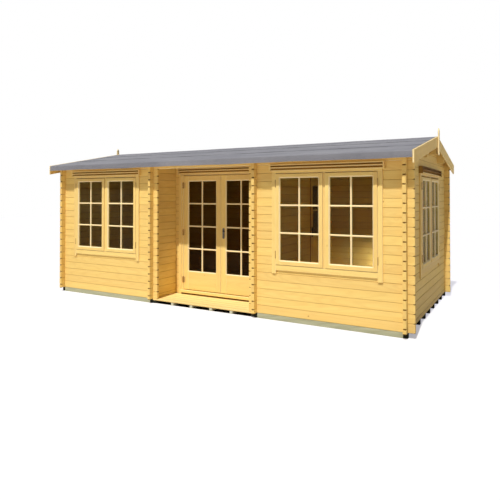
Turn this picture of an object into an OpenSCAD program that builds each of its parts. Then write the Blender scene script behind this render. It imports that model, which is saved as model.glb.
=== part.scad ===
// Log cabin with a recessed porch, two rooms and a low felted ridge roof.
// The long side with the porch faces -Y, the ridge runs along X and Z = 0 is the ground.

/* [Log walls] */
// Height of one log course
log_h = 110; // [100:1:120]
// Thickness of a log
log_t = 44; // [36:1:60]
// Distance between the centre lines of a porch wall and the gable wall beside it
room_span = 1975; // [1850:5:2150]
// Distance between the centre lines of the front and back walls
wall_span = 2780; // [2600:10:3000]
// Distance between the centre lines of the two walls beside the porch
porch_span = 1810; // [1760:10:1900]
// Depth of the porch, from the front wall to the door wall
recess = 550; // [480:10:640]
// How far log ends stand out past the wall that they cross
log_end = 80; // [60:1:100]
// Number of full courses under the eave logs
wall_courses = 18; // [18:1:19]
// Height of the bevelled logs under the eaves
eave_log_h = 122; // [110:1:130]
// Width of the bevel along the edges of a log
log_bevel = 5; // [3:0.5:8]
// Height of the tongue on a log
tongue_h = 8; // [5:1:12]
// Width of the tongue on a log
tongue_w = 14; // [10:1:18]

/* [Base] */
// Height of the floor bearers
bearer_h = 64; // [50:1:80]
// Width of the floor bearers
bearer_w = 58; // [44:1:70]
// Number of bearers from front to back
bearer_count = 9; // [7:1:11]
// Width of a porch joist
joist_w = 45; // [38:1:60]
// Number of porch joists
joist_count = 6; // [4:1:8]
// Thickness of the porch deck
deck_t = 19; // [16:1:28]
// Thickness of the floor in the rooms
floor_t = 19; // [16:1:28]

/* [Roof] */
// Slope of the roof in degrees
roof_pitch = 11; // [9:0.5:14]
// Thickness of the roof boards
roof_board_t = 19; // [16:1:26]
// Thickness of the roofing felt
felt_t = 3; // [2:0.5:5]
// How far the eaves stand out past the wall
eave_out = 205; // [150:5:260]
// How far the roof boards stand out past the gable walls
gable_out = 98; // [90:1:160]
// Height of the boards under the eaves
fascia_h = 56; // [40:1:80]
// Thickness of the boards under the eaves
fascia_t = 28; // [18:1:36]
// Thickness of the barge boards
barge_t = 20; // [16:1:28]
// Height of the barge boards
barge_h = 148; // [120:1:180]
// How far the barge boards stand above the felt
barge_rise = 6; // [2:1:15]
// Thickness of the purlins
purlin_t = 44; // [36:1:60]
// Height of the two side purlins
side_purlin_h = 175; // [140:1:190]
// Width of the finials
finial_w = 55; // [40:1:90]
// Thickness of the finials
finial_t = 18; // [14:1:24]
// How far the finials stand above the ridge
finial_up = 118; // [80:1:160]
// How far the finials hang below the ridge
finial_down = 255; // [200:1:300]

/* [Windows] */
// Width of one casement
casement_w = 653; // [560:1:700]
// Height of a casement
casement_h = 1200; // [1000:5:1250]
// Distance of the front casements below the logs under the eaves
window_head = 115; // [110:1:160]
// Width of the post between two casements
mullion_w = 33; // [24:1:50]
// Width of the casement stiles
casement_stile = 60; // [45:1:80]
// Height of the casement rails
casement_rail = 64; // [45:1:80]
// Thickness of a casement
casement_t = 40; // [30:1:44]
// How far the casements lie behind the face of the trim
casement_set = 6; // [2:1:10]
// Thickness of the window lining
lining_t = 28; // [20:1:34]
// Width of the trim boards around a window
trim_w = 58; // [50:1:80]
// Thickness of the trim boards
trim_t = 20; // [14:1:28]
// How far the trim feet hang below the casements
trim_foot = 115; // [80:1:140]
// Height of the board under the casements
apron_h = 68; // [50:1:76]
// Thickness of window and door glass
glass_t = 6; // [4:1:10]

/* [Cornices] */
// Height of the lower cornice board
cornice_low_h = 36; // [24:1:44]
// Height of the upper cornice board
cornice_top_h = 46; // [30:1:54]
// How far the lower cornice board stands out
cornice_low_out = 34; // [28:1:44]
// How far the upper cornice board stands out
cornice_top_out = 52; // [46:1:64]
// How far the upper cornice board runs past the trim
cornice_over = 30; // [15:1:40]

/* [Porch doors] */
// Width of the wall that shows beside the door trim
door_side = 76.5; // [60:0.5:120]
// Height of the head board over the doors
door_head_t = 80; // [60:1:120]
// Thickness of the doors
leaf_t = 42; // [36:1:46]
// Gap around the doors
leaf_gap = 5; // [5:0.5:8]
// Width of the door stiles
leaf_stile = 95; // [70:1:120]
// Height of the door's top rail
leaf_top_rail = 96; // [70:1:120]
// Height of the solid foot of a porch door
leaf_foot = 302; // [200:1:400]
// Height of the threshold
sill_h = 70; // [50:1:80]
// How far the threshold stands out in front of the doors
sill_out = 34; // [20:1:44]
// Thickness of the door jambs
jamb_t = 40; // [30:1:44]
// How far the doors stand out of the wall
leaf_proud = 15; // [10:1:18]
// Gap between the doors and the stops behind them
stop_gap = 6; // [5:0.5:8]
// How far the stops reach over the door edges
stop_over = 18; // [12:1:24]
// Width of the trim boards beside the doors
door_trim_w = 52; // [40:1:70]
// Height between the tops of the doors and their cornice
door_head_h = 17; // [10:1:40]

/* [Inner door] */
// Width of the inner door
inner_w = 730; // [680:5:780]
// Height of the head board over the inner door
inner_head_t = 44; // [34:1:80]
// Distance of the inner door's hinge edge from the back wall
inner_back = 175; // [120:1:260]
// Height of the inner door's glass above its foot
inner_glass_z = 868; // [700:1:1000]
// Height of the inner door's top rail
inner_top_rail = 140; // [90:1:180]
// Thickness of the inner door jambs
inner_jamb_t = 32; // [24:1:40]

/* [Handles] */
// Height of the handle plates
plate_h = 155; // [120:1:200]
// Width of the handle plates
plate_w = 38; // [28:1:46]
// Thickness of the handle plates
plate_t = 6; // [4:1:10]
// Length of the levers
lever_l = 110; // [90:1:120]
// Thickness of the levers
lever_d = 18; // [14:1:22]
// Distance of the levers from the door
lever_out = 40; // [32:1:46]
// Height of the levers above the door's foot
lever_z = 930; // [850:5:1000]

/* [Hinges] */
// Height of a hinge
hinge_h = 90; // [70:1:120]
// Distance of the outer hinges from the ends of a door
hinge_inset = 157; // [100:1:200]
// Radius of the hinge knuckles
knuckle_r = 8; // [7:0.5:10]
// Radius of the hinge pins
pin_r = 5; // [4:0.5:6]
// Width of the hinge plates
hinge_plate_w = 26; // [18:1:30]
// Thickness of the hinge plates
hinge_plate_t = 3; // [2:0.5:4]

/* [Hidden] */

// Clearance between pieces that lie against each other
fit = 0.3;
// Overrun of the cuts
over = 20;
// Facets of round pieces
$fn = 48;
// Share of a course that a corner notch takes from each edge of a log
lap_share = 0.25;
// Share of the finial's height that its point takes
finial_point_share = 0.12;

wood = "#E9C27C";
shaded_wood = "#D3A964";
treated = "#B4B79B";
felt_grey = "#8F919A";
pane = "#4A3A26";
dark_metal = "#3A3A3C";

// Places of the walls
porch_x = porch_span / 2;
gable_x = porch_x + room_span;
front_y = -wall_span / 2;
back_y = wall_span / 2;
door_y = front_y + recess;
half_t = log_t / 2;
reach = half_t + log_end;
wall_in = back_y - half_t;

// Heights of the courses and of the roof
eave_top = bearer_h + wall_courses * log_h + eave_log_h;
slope = tan(roof_pitch);
board_z = roof_board_t / cos(roof_pitch);
felt_z = felt_t / cos(roof_pitch);
eave_y = back_y + half_t + eave_out;
board_y = eave_y - felt_t;
roof_x = gable_x + half_t + gable_out;
ridge_under = roof_under(0);
ridge_top = ridge_under + board_z + felt_z;
gable_last = floor((ridge_under - bearer_h) / log_h + lap_share);
door_last = floor((roof_under(door_y + half_t) - bearer_h) / log_h) - 1;
ridge_purlin_z = side_log_z(gable_last - 1);
purlin_y = wall_in / 2;

// Window sizes, measured in the window's own frame
window_w = 2 * casement_w + mullion_w;
hole_w = window_w + 2 * lining_t;
casement_front = trim_t - casement_set;
window_z = wall_courses * log_h - window_head - casement_h;
window_side = (gable_x + porch_x) / 2;
// The gable window sits lower, because its lining stands on the joint between two logs
gable_window_drop = (window_z - lining_t - log_h / 2) % log_h + 2 * fit;

// Door sizes
door_hole_half = porch_x - half_t - door_side - door_trim_w;
doorway_half = door_hole_half - jamb_t;
leaf_w = doorway_half - leaf_gap - leaf_gap / 2;
door_hole_top = course_z(wall_courses) + tongue_h + fit;
leaf_z = bearer_h + sill_h + leaf_gap;
leaf_h = course_z(wall_courses) - door_head_t - leaf_gap - leaf_z;
stop_t = log_t + leaf_proud - leaf_t - stop_gap;
leaf_y = door_y - half_t - leaf_proud;
head_z = leaf_z + leaf_h + leaf_gap;
inner_z = bearer_h + floor_t + leaf_gap + inner_jamb_t / 2;
inner_head = side_log_z(wall_courses) - inner_head_t;
inner_h = inner_head - leaf_gap - inner_z;
inner_glass_h = inner_h - inner_glass_z - inner_top_rail;
inner_hole_top = side_log_z(wall_courses) + tongue_h + fit;
inner_end = wall_in - inner_back;
inner_y = inner_end - inner_w;
inner_leaf_x = porch_x + half_t;

function course_z(k) = bearer_h + k * log_h;
function side_log_z(k) = course_z(k) - log_h / 2;
function roof_under(y) = eave_top + (wall_in - abs(y)) * slope;

// Plain block given by its lowest and highest corners
module block(low, high) {
  translate(low)
    cube(high - low);
}

// Section of a log, with its bevels, its tongue and the groove under it
module log_section(tall) {
  top = tall - fit;
  groove_half = tongue_w / 2 + fit;
  polygon([
    [-half_t, log_bevel],
    [-half_t + log_bevel, 0],
    [-groove_half, 0],
    [-groove_half, tongue_h + fit],
    [groove_half, tongue_h + fit],
    [groove_half, 0],
    [half_t - log_bevel, 0],
    [half_t, log_bevel],
    [half_t, top - log_bevel],
    [half_t - log_bevel, top],
    [tongue_w / 2, top],
    [tongue_w / 2, top + tongue_h],
    [-tongue_w / 2, top + tongue_h],
    [-tongue_w / 2, top],
    [-half_t + log_bevel, top],
    [-half_t, top - log_bevel]
  ]);
}

// Box of the corner notches that a crossing wall needs in one log
module notches(at, along_x, z) {
  wide = log_t + 2 * fit;
  size = [wide, wide + 2 * over, log_h];
  turn = along_x ? 0 : 90;
  for (low = [z + lap_share * log_h + fit / 2 - log_h, z + (1 - lap_share) * log_h - fit / 2])
    translate([at[0], at[1], low])
      rotate([0, 0, turn])
        translate([-size[0] / 2, -size[1] / 2, 0])
          cube(size);
}

// One log along X, notched where the side walls cross it
module log_x(x_low, x_high, y, z, tall, crossings) {
  difference() {
    translate([x_low, y, z])
      rotate([90, 0, 90])
        linear_extrude(x_high - x_low)
          log_section(tall);
    for (x = crossings)
      notches([x, y], true, z);
  }
}

// One log along Y, notched where the long walls cross it
module log_y(y_low, y_high, x, z, crossings) {
  difference() {
    translate([x, y_high, z])
      rotate([90, 0, 0])
        linear_extrude(y_high - y_low)
          log_section(log_h);
    for (y = crossings)
      notches([x, y], false, z);
  }
}

// Everything above the underside of the roof
module above_roof() {
  far = eave_y + over;
  translate([-roof_x, 0, 0])
    rotate([90, 0, 90])
      linear_extrude(2 * roof_x)
        polygon([
          [-far, roof_under(far) - fit],
          [0, ridge_under - fit],
          [far, roof_under(far) - fit],
          [far, ridge_top + over],
          [-far, ridge_top + over]
        ]);
}

// Slots in which the purlins lie
module purlin_slots(x) {
  half_w = purlin_t / 2 + fit;
  half_l = half_t + over;
  block([x - half_l, -half_w, ridge_purlin_z - 2 * fit], [x + half_l, half_w, ridge_top]);
  for (y = [-purlin_y, purlin_y])
    block([x - half_l, y - half_w, roof_under(purlin_y) - side_purlin_h - fit],
          [x + half_l, y + half_w, ridge_top]);
}

// Stack of logs along Y from the half log on the bearers up to the roof
module side_logs(x, y_low, y_high, last, crossings) {
  difference() {
    for (k = [0:last])
      log_y(y_low, y_high, x, side_log_z(k), crossings);
    block([x - log_t, y_low - over, -log_h], [x + log_t, y_high + over, bearer_h]);
    above_roof();
    purlin_slots(x);
  }
}

// Hole that a window needs in its wall, in the window's own frame
module window_hole() {
  block([-hole_w / 2, -over, window_z - lining_t],
        [hole_w / 2, log_t + over, window_z + casement_h + lining_t]);
}

// Places of the three windows
module at_left_window() {
  translate([-window_side, front_y - half_t, bearer_h])
    children();
}

module at_right_window() {
  translate([window_side, front_y - half_t, bearer_h])
    children();
}

module at_gable_window() {
  translate([gable_x + half_t, 0, bearer_h - gable_window_drop])
    rotate([0, 0, 90])
      children();
}

// Bearers along the cabin, broken at the porch, and one under the door wall
module bearers() {
  pitch_y = wall_span / (bearer_count - 1);
  end_x = gable_x + half_t;
  gap_x = porch_x - half_t;
  color(treated) {
    for (i = [0:bearer_count - 1]) {
      y = front_y + i * pitch_y;
      low = y - bearer_w / 2;
      if (y < door_y - bearer_w)
        for (side = [-1, 1])
          translate([side * (end_x + gap_x) / 2 - (end_x - gap_x) / 2, low, 0])
            cube([end_x - gap_x, bearer_w, bearer_h]);
      else if (y > door_y + bearer_w)
        block([-end_x, low, 0], [end_x, low + bearer_w, bearer_h]);
    }
    block([-porch_x - half_t, door_y - bearer_w / 2, 0],
          [porch_x + half_t, door_y + bearer_w / 2, bearer_h]);
  }
}

// Joists under the porch deck, from front to back
module porch_joists() {
  room = porch_span - log_t - joist_w - 2 * fit;
  color(treated)
    for (i = [0:joist_count - 1]) {
      x = -room / 2 + i * room / (joist_count - 1);
      block([x - joist_w / 2, front_y - half_t, 0],
            [x + joist_w / 2, door_y - bearer_w / 2 - fit, bearer_h - deck_t - fit]);
    }
}

// Deck of the porch, level with the underside of the logs
module porch_deck() {
  edge_x = porch_x - half_t - fit;
  color(wood)
    block([-edge_x, front_y - half_t - log_bevel, bearer_h - deck_t - fit],
          [edge_x, door_y - bearer_w / 2 - fit, bearer_h - fit]);
}

// Floor boards of the left room, of the middle room behind the porch and of the right room
module room_floors() {
  high = bearer_h + floor_t;
  back = wall_in - fit;
  far = gable_x - half_t - fit;
  wall_out = porch_x + half_t;
  end_low = door_y - half_t - fit;
  end_high = door_y + half_t + fit;
  color(shaded_wood) {
    for (side = [0, 1])
      mirror([side, 0, 0])
        difference() {
          block([wall_out + fit, -back, bearer_h], [far, back, high]);
          block([0, end_low, 0], [porch_x + reach + fit, end_high, high + over]);
        }
    difference() {
      block([-wall_out, end_high, bearer_h], [porch_x - half_t - fit, back, high]);
      block([-wall_out - over, door_y, 0], [half_t + fit - porch_x, door_y + reach + fit, high + over]);
    }
  }
}

// Front wall of one room, with log ends that stand out at both corners
module room_front_logs(low, high, crossings) {
  for (k = [0:wall_courses - 1])
    log_x(low, high, front_y, course_z(k), log_h, crossings);
}

module left_front_wall() {
  color(wood)
    difference() {
      room_front_logs(-gable_x - reach, -porch_x + reach, [-gable_x, -porch_x]);
      at_left_window()
        window_hole();
    }
}

module right_front_wall() {
  color(wood)
    difference() {
      room_front_logs(porch_x - reach, gable_x + reach, [porch_x, gable_x]);
      at_right_window()
        window_hole();
    }
}

// Log under the front eave, which runs across the porch
module eave_log() {
  color(wood)
    difference() {
      log_x(-gable_x - reach, gable_x + reach, front_y, course_z(wall_courses), eave_log_h,
            [-gable_x, -porch_x, porch_x, gable_x]);
      above_roof();
    }
}

// Wall behind the porch, with the doorway cut through it
module door_wall() {
  low = -porch_x - reach;
  high = porch_x + reach;
  top_tall = roof_under(door_y + half_t) - course_z(door_last);
  color(wood)
    difference() {
      for (k = [0:door_last])
        log_x(low, high, door_y, course_z(k), k < door_last ? log_h : top_tall, [-porch_x, porch_x]);
      block([-door_hole_half - fit, door_y - log_t, 0],
            [door_hole_half + fit, door_y + log_t, door_hole_top]);
      above_roof();
    }
}

module back_wall() {
  color(wood)
    difference() {
      for (k = [0:wall_courses])
        log_x(-gable_x - reach, gable_x + reach, back_y, course_z(k), k < wall_courses ? log_h : eave_log_h,
              [-gable_x, porch_x, gable_x]);
      above_roof();
    }
}

module left_gable_wall() {
  color(wood)
    side_logs(-gable_x, front_y - reach, back_y + reach, gable_last, [front_y, back_y]);
}

module right_gable_wall() {
  color(wood)
    difference() {
      side_logs(gable_x, front_y - reach, back_y + reach, gable_last, [front_y, back_y]);
      at_gable_window()
        window_hole();
    }
}

// Wall at the left of the porch, which ends behind the door wall
module porch_left_wall() {
  color(wood)
    side_logs(-porch_x, front_y - reach, door_y + reach, gable_last - 1, [front_y, door_y]);
}

// Wall at the right of the porch, which runs on as the partition between the rooms
module partition_wall() {
  color(wood)
    difference() {
      side_logs(porch_x, front_y - reach, back_y + reach, gable_last, [front_y, door_y, back_y]);
      block([porch_x - log_t, inner_y - leaf_gap - inner_jamb_t - fit, 0],
            [porch_x + log_t, inner_end + leaf_gap + inner_jamb_t + fit, inner_hole_top]);
    }
}

// Ridge purlin and the two side purlins, bevelled to the roof
module purlins() {
  half_w = purlin_t / 2;
  long = roof_x - fit;
  color(shaded_wood)
    difference() {
      union() {
        block([-long, -half_w, ridge_purlin_z], [long, half_w, ridge_top]);
        for (y = [-purlin_y, purlin_y])
          block([-long, y - half_w, roof_under(purlin_y) - side_purlin_h], [long, y + half_w, ridge_top]);
      }
      above_roof();
    }
}

// Outline of one roof layer in the YZ plane, between two heights above the underside
module roof_layer(low, high, far) {
  polygon([
    [fit / 2, ridge_under + low],
    [far, roof_under(far) + low],
    [far, roof_under(far) + high],
    [fit / 2, ridge_under + high]
  ]);
}

// Carries an outline in the YZ plane along X
module along_cabin(x_low, x_high) {
  translate([x_low, 0, 0])
    rotate([90, 0, 90])
      linear_extrude(x_high - x_low)
        children();
}

// Boards of the two slopes
module roof_boards() {
  color(shaded_wood)
    for (side = [0, 1])
      mirror([0, side, 0])
        along_cabin(-roof_x, roof_x)
          roof_layer(0, board_z - fit, board_y - fit);
}

// Felt on the two slopes and the strips that are turned down over the eaves
module roofing_felt() {
  drop = roof_under(eave_y) - fascia_h;
  color(felt_grey)
    for (side = [0, 1])
      mirror([0, side, 0])
        along_cabin(-roof_x, roof_x) {
          roof_layer(board_z, board_z + felt_z, eave_y);
          polygon([
            [board_y, roof_under(board_y) + board_z - fit],
            [board_y, drop],
            [eave_y, drop],
            [eave_y, roof_under(eave_y) + board_z - fit]
          ]);
        }
}

// Boards under the eaves that the felt is nailed to
module eave_fascias() {
  low = roof_under(eave_y) - fascia_h;
  near = board_y - fascia_t;
  color(shaded_wood)
    for (side = [0, 1])
      mirror([0, side, 0])
        along_cabin(-roof_x, roof_x)
          polygon([
            [near, low],
            [board_y - fit, low],
            [board_y - fit, roof_under(board_y) - fit],
            [near, roof_under(near) - fit]
          ]);
}

// Pairs of barge boards on the two gables
module barge_boards() {
  high = board_z + felt_z + barge_rise;
  near = roof_x + fit;
  color(wood)
    for (end = [0, 1], side = [0, 1])
      mirror([end, 0, 0])
        mirror([0, side, 0])
          along_cabin(near, near + barge_t)
            roof_layer(high - barge_h, high, eave_y);
}

// Pointed boards over the joints of the barge boards
module finials() {
  low = ridge_top - finial_down;
  tip = ridge_top + finial_up;
  shoulder = tip - finial_point_share * (finial_up + finial_down);
  half_w = finial_w / 2;
  color(wood)
    for (side = [0, 1])
      mirror([side, 0, 0])
        along_cabin(roof_x + barge_t + 2 * fit, roof_x + barge_t + 2 * fit + finial_t)
          polygon([[-half_w, low], [half_w, low], [half_w, shoulder], [0, tip], [-half_w, shoulder]]);
}

// Two stepped boards over a window or a door, on a wall face at y = 0
module cornice(half_w, z) {
  low_half = half_w + cornice_over / 2;
  top_half = half_w + cornice_over;
  block([-low_half, -cornice_low_out, z], [low_half, -fit, z + cornice_low_h - fit]);
  block([-top_half, -cornice_top_out, z + cornice_low_h],
        [top_half, -fit, z + cornice_low_h + cornice_top_h]);
}

// Lining, middle post, trim and cornice of a window, each board by itself
module window_boards() {
  low = window_z - fit;
  high = window_z + casement_h + fit;
  inner = window_w / 2 + fit;
  outer = hole_w / 2 - fit;
  trim_out = inner + trim_w;
  // Lining in the wall
  for (side = [0, 1])
    mirror([side, 0, 0])
      block([inner, 0, low], [outer, log_t, high]);
  block([-outer, 0, low - lining_t + 2 * fit], [outer, log_t, low - fit]);
  block([-outer, 0, high + fit], [outer, log_t, high + lining_t - 2 * fit]);
  block([-mullion_w / 2 + fit, -casement_front, low], [mullion_w / 2 - fit, log_t, high]);
  // Trim on the face of the wall
  for (side = [0, 1])
    mirror([side, 0, 0])
      block([inner, -trim_t, window_z - trim_foot], [trim_out, -fit, high]);
  block([-inner + fit, -trim_t, low - apron_h], [inner - fit, -fit, low - fit]);
  block([-trim_out, -trim_t, high + fit], [trim_out, -fit, high + lining_t]);
  cornice(trim_out, high + lining_t + fit);
}

// Two casements, each of two stiles and two rails
module casements() {
  front = -casement_front;
  back = front + casement_t;
  high = window_z + casement_h;
  for (side = [0, 1])
    mirror([side, 0, 0]) {
      near = mullion_w / 2;
      far = near + casement_w;
      block([near, front, window_z], [near + casement_stile, back, high]);
      block([far - casement_stile, front, window_z], [far, back, high]);
      rail_low = near + casement_stile + fit;
      rail_high = far - casement_stile - fit;
      block([rail_low, front, window_z], [rail_high, back, window_z + casement_rail]);
      block([rail_low, front, high - casement_rail], [rail_high, back, high]);
    }
}

// One sheet of glass in each casement
module casement_glass() {
  mid = -casement_front + casement_t / 2;
  for (side = [0, 1])
    mirror([side, 0, 0])
      block([mullion_w / 2 + casement_stile + fit, mid - glass_t / 2, window_z + casement_rail + fit],
            [mullion_w / 2 + casement_w - casement_stile - fit, mid + glass_t / 2,
             window_z + casement_h - casement_rail - fit]);
}

module left_window_frame() {
  color(wood)
    at_left_window()
      window_boards();
}

module left_window_casements() {
  color(wood)
    at_left_window()
      casements();
}

module left_window_glass() {
  color(pane)
    at_left_window()
      casement_glass();
}

module right_window_frame() {
  color(wood)
    at_right_window()
      window_boards();
}

module right_window_casements() {
  color(wood)
    at_right_window()
      casements();
}

module right_window_glass() {
  color(pane)
    at_right_window()
      casement_glass();
}

module gable_window_frame() {
  color(wood)
    at_gable_window()
      window_boards();
}

module gable_window_casements() {
  color(wood)
    at_gable_window()
      casements();
}

module gable_window_glass() {
  color(pane)
    at_gable_window()
      casement_glass();
}

// Jambs, head, threshold and stops of the porch doorway
module door_frame() {
  back = door_y + half_t;
  outer = door_hole_half;
  stop_y = back - stop_t;
  stop_x = doorway_half - leaf_gap - stop_over;
  stop_top = head_z - leaf_gap - stop_over;
  color(wood) {
    for (side = [0, 1])
      mirror([side, 0, 0]) {
        block([doorway_half, leaf_y, bearer_h + sill_h], [outer, back, head_z - fit]);
        block([stop_x, stop_y, bearer_h + sill_h], [doorway_half - fit, back, stop_top - fit]);
      }
    block([-outer, door_y - half_t, head_z], [outer, back, door_hole_top - fit]);
    block([-doorway_half + fit, stop_y, stop_top], [doorway_half - fit, back, head_z - fit]);
    block([-outer, leaf_y - sill_out, bearer_h], [outer, back, bearer_h + sill_h - fit]);
  }
}

// Trim boards and cornice on the wall around the porch doors
module door_trim() {
  face = door_y - half_t;
  inner = door_hole_half + fit;
  low = leaf_z + leaf_h + door_head_h;
  trim_out = inner + door_trim_w;
  color(wood)
    translate([0, face, 0]) {
      for (side = [0, 1])
        mirror([side, 0, 0])
          block([inner, -trim_t, bearer_h], [trim_out, -fit, low - fit]);
      cornice(trim_out, low);
    }
}

// Two stiles, a top rail and a solid foot, with the handle edge at x = 0
module door_leaf(wide, tall, foot, top_rail) {
  block([0, 0, 0], [leaf_stile, leaf_t, tall]);
  block([wide - leaf_stile, 0, 0], [wide, leaf_t, tall]);
  block([leaf_stile + fit, 0, 0], [wide - leaf_stile - fit, leaf_t, foot]);
  block([leaf_stile + fit, 0, tall - top_rail], [wide - leaf_stile - fit, leaf_t, tall]);
}

module leaf_glass(wide, low, high) {
  block([leaf_stile + fit, (leaf_t - glass_t) / 2, low + fit],
        [wide - leaf_stile - fit, (leaf_t + glass_t) / 2, high - fit]);
}

// Plates and levers on both faces of a door, with the handle edge at x = 0
module lever_set() {
  x = leaf_stile / 2;
  neck_l = lever_out - plate_t;
  for (face = [0, 1])
    translate([x, leaf_t / 2, lever_z])
      mirror([0, face, 0])
        translate([0, leaf_t / 2 + fit, 0]) {
          block([-plate_w / 2, 0, -plate_h / 2], [plate_w / 2, plate_t, plate_h / 2]);
          translate([0, lever_out, 0])
            rotate([90, 0, 0])
              cylinder(d = lever_d, h = neck_l + plate_t / 2);
          translate([0, lever_out, 0])
            rotate([0, 90, 0])
              cylinder(d = lever_d, h = lever_l);
          translate([0, lever_out, 0])
            sphere(d = lever_d);
        }
}

// Heights of the hinges of a door
function hinge_places(tall) = [hinge_inset, tall / 2, tall - hinge_inset];

// Pins of a door, with the knuckles and plates on its jamb and the handle edge at x = 0
module jamb_hinges(wide, tall) {
  third = hinge_h / 3;
  plate_x = knuckle_r + 2 * fit;
  for (z = hinge_places(tall))
    translate([wide + leaf_gap / 2, -knuckle_r - fit, z - hinge_h / 2]) {
      cylinder(r = pin_r, h = hinge_h);
      block([plate_x, knuckle_r - hinge_plate_t, 0], [plate_x + hinge_plate_w, knuckle_r, hinge_h]);
      for (low = [0, 2 * third]) {
        translate([0, 0, low])
          cylinder(r = knuckle_r, h = third);
        block([0, knuckle_r - hinge_plate_t, low], [plate_x, knuckle_r, low + third]);
      }
    }
}

// Knuckles and plates on a door, around the pins on its jamb
module leaf_hinges(wide, tall) {
  third = hinge_h / 3;
  plate_x = knuckle_r + 2 * fit;
  for (z = hinge_places(tall))
    translate([wide + leaf_gap / 2, -knuckle_r - fit, z - hinge_h / 2])
      difference() {
        union() {
          translate([0, 0, third + fit])
            cylinder(r = knuckle_r, h = third - 2 * fit);
          block([-plate_x, knuckle_r - hinge_plate_t, third + fit], [0, knuckle_r, 2 * third - fit]);
          block([-plate_x - hinge_plate_w, knuckle_r - hinge_plate_t, 0], [-plate_x, knuckle_r, hinge_h]);
        }
        translate([0, 0, -over])
          cylinder(r = pin_r + fit, h = hinge_h + 2 * over);
      }
}

module at_right_door() {
  translate([leaf_gap / 2, leaf_y, leaf_z])
    children();
}

module at_left_door() {
  mirror([1, 0, 0])
    at_right_door()
      children();
}

module at_inner_door() {
  translate([inner_leaf_x, inner_y, inner_z])
    rotate([0, 0, 90])
      children();
}

module left_door() {
  color(wood)
    at_left_door()
      door_leaf(leaf_w, leaf_h, leaf_foot, leaf_top_rail);
}

module right_door() {
  color(wood)
    at_right_door()
      door_leaf(leaf_w, leaf_h, leaf_foot, leaf_top_rail);
}

module door_hinge_pins() {
  color(dark_metal) {
    at_left_door()
      jamb_hinges(leaf_w, leaf_h);
    at_right_door()
      jamb_hinges(leaf_w, leaf_h);
  }
}

module left_door_hinges() {
  color(dark_metal)
    at_left_door()
      leaf_hinges(leaf_w, leaf_h);
}

module right_door_hinges() {
  color(dark_metal)
    at_right_door()
      leaf_hinges(leaf_w, leaf_h);
}

module left_door_glass() {
  color(pane)
    at_left_door()
      leaf_glass(leaf_w, leaf_foot, leaf_h - leaf_top_rail);
}

module right_door_glass() {
  color(pane)
    at_right_door()
      leaf_glass(leaf_w, leaf_foot, leaf_h - leaf_top_rail);
}

module right_door_handle() {
  color(dark_metal)
    at_right_door()
      lever_set();
}

// Jambs, head and sill of the doorway in the partition
module inner_door_frame() {
  low_x = porch_x - half_t;
  high_x = porch_x + half_t;
  low_y = inner_y - leaf_gap;
  high_y = inner_end + leaf_gap;
  sill = inner_z - leaf_gap;
  color(wood) {
    block([low_x, low_y - inner_jamb_t, bearer_h], [high_x, low_y, inner_head]);
    block([low_x, high_y, bearer_h], [high_x, high_y + inner_jamb_t, inner_head]);
    block([low_x, low_y - inner_jamb_t, inner_head + fit],
          [high_x, high_y + inner_jamb_t, inner_hole_top - fit]);
    block([low_x, low_y + fit, bearer_h], [high_x, high_y - fit, sill]);
  }
}

module inner_door() {
  color(wood)
    at_inner_door()
      door_leaf(inner_w, inner_h, inner_glass_z, inner_h - inner_glass_z - inner_glass_h);
}

module inner_hinge_pins() {
  color(dark_metal)
    at_inner_door()
      jamb_hinges(inner_w, inner_h);
}

module inner_door_hinges() {
  color(dark_metal)
    at_inner_door()
      leaf_hinges(inner_w, inner_h);
}

module inner_door_glass() {
  color(pane)
    at_inner_door()
      leaf_glass(inner_w, inner_glass_z, inner_glass_z + inner_glass_h);
}

module inner_door_handle() {
  color(dark_metal)
    at_inner_door()
      lever_set();
}

bearers();
porch_joists();
porch_deck();
room_floors();
left_front_wall();
right_front_wall();
eave_log();
door_wall();
back_wall();
left_gable_wall();
right_gable_wall();
porch_left_wall();
partition_wall();
purlins();
roof_boards();
roofing_felt();
eave_fascias();
barge_boards();
finials();
door_frame();
door_trim();
door_hinge_pins();
left_door();
left_door_glass();
left_door_hinges();
right_door();
right_door_glass();
right_door_hinges();
right_door_handle();
inner_door_frame();
inner_hinge_pins();
inner_door();
inner_door_glass();
inner_door_hinges();
inner_door_handle();
left_window_frame();
left_window_casements();
left_window_glass();
right_window_frame();
right_window_casements();
right_window_glass();
gable_window_frame();
gable_window_casements();
gable_window_glass();
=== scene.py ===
# %% [markdown]
# # A log cabin with a recessed porch
#
# This lesson dresses the solids of a small log cabin: planed logs that cross at the
# corners, a pair of glazed doors at the back of a porch, three windows, and a low roof
# of boards under grey felt. The solids come in as a fixed frame. Each cell below adds
# one finish or one group of pieces to it, and prints what it made.

# %% Load the frame
import math

import bmesh
import bpy
import numpy as np
from mathutils import Matrix, Vector


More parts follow.
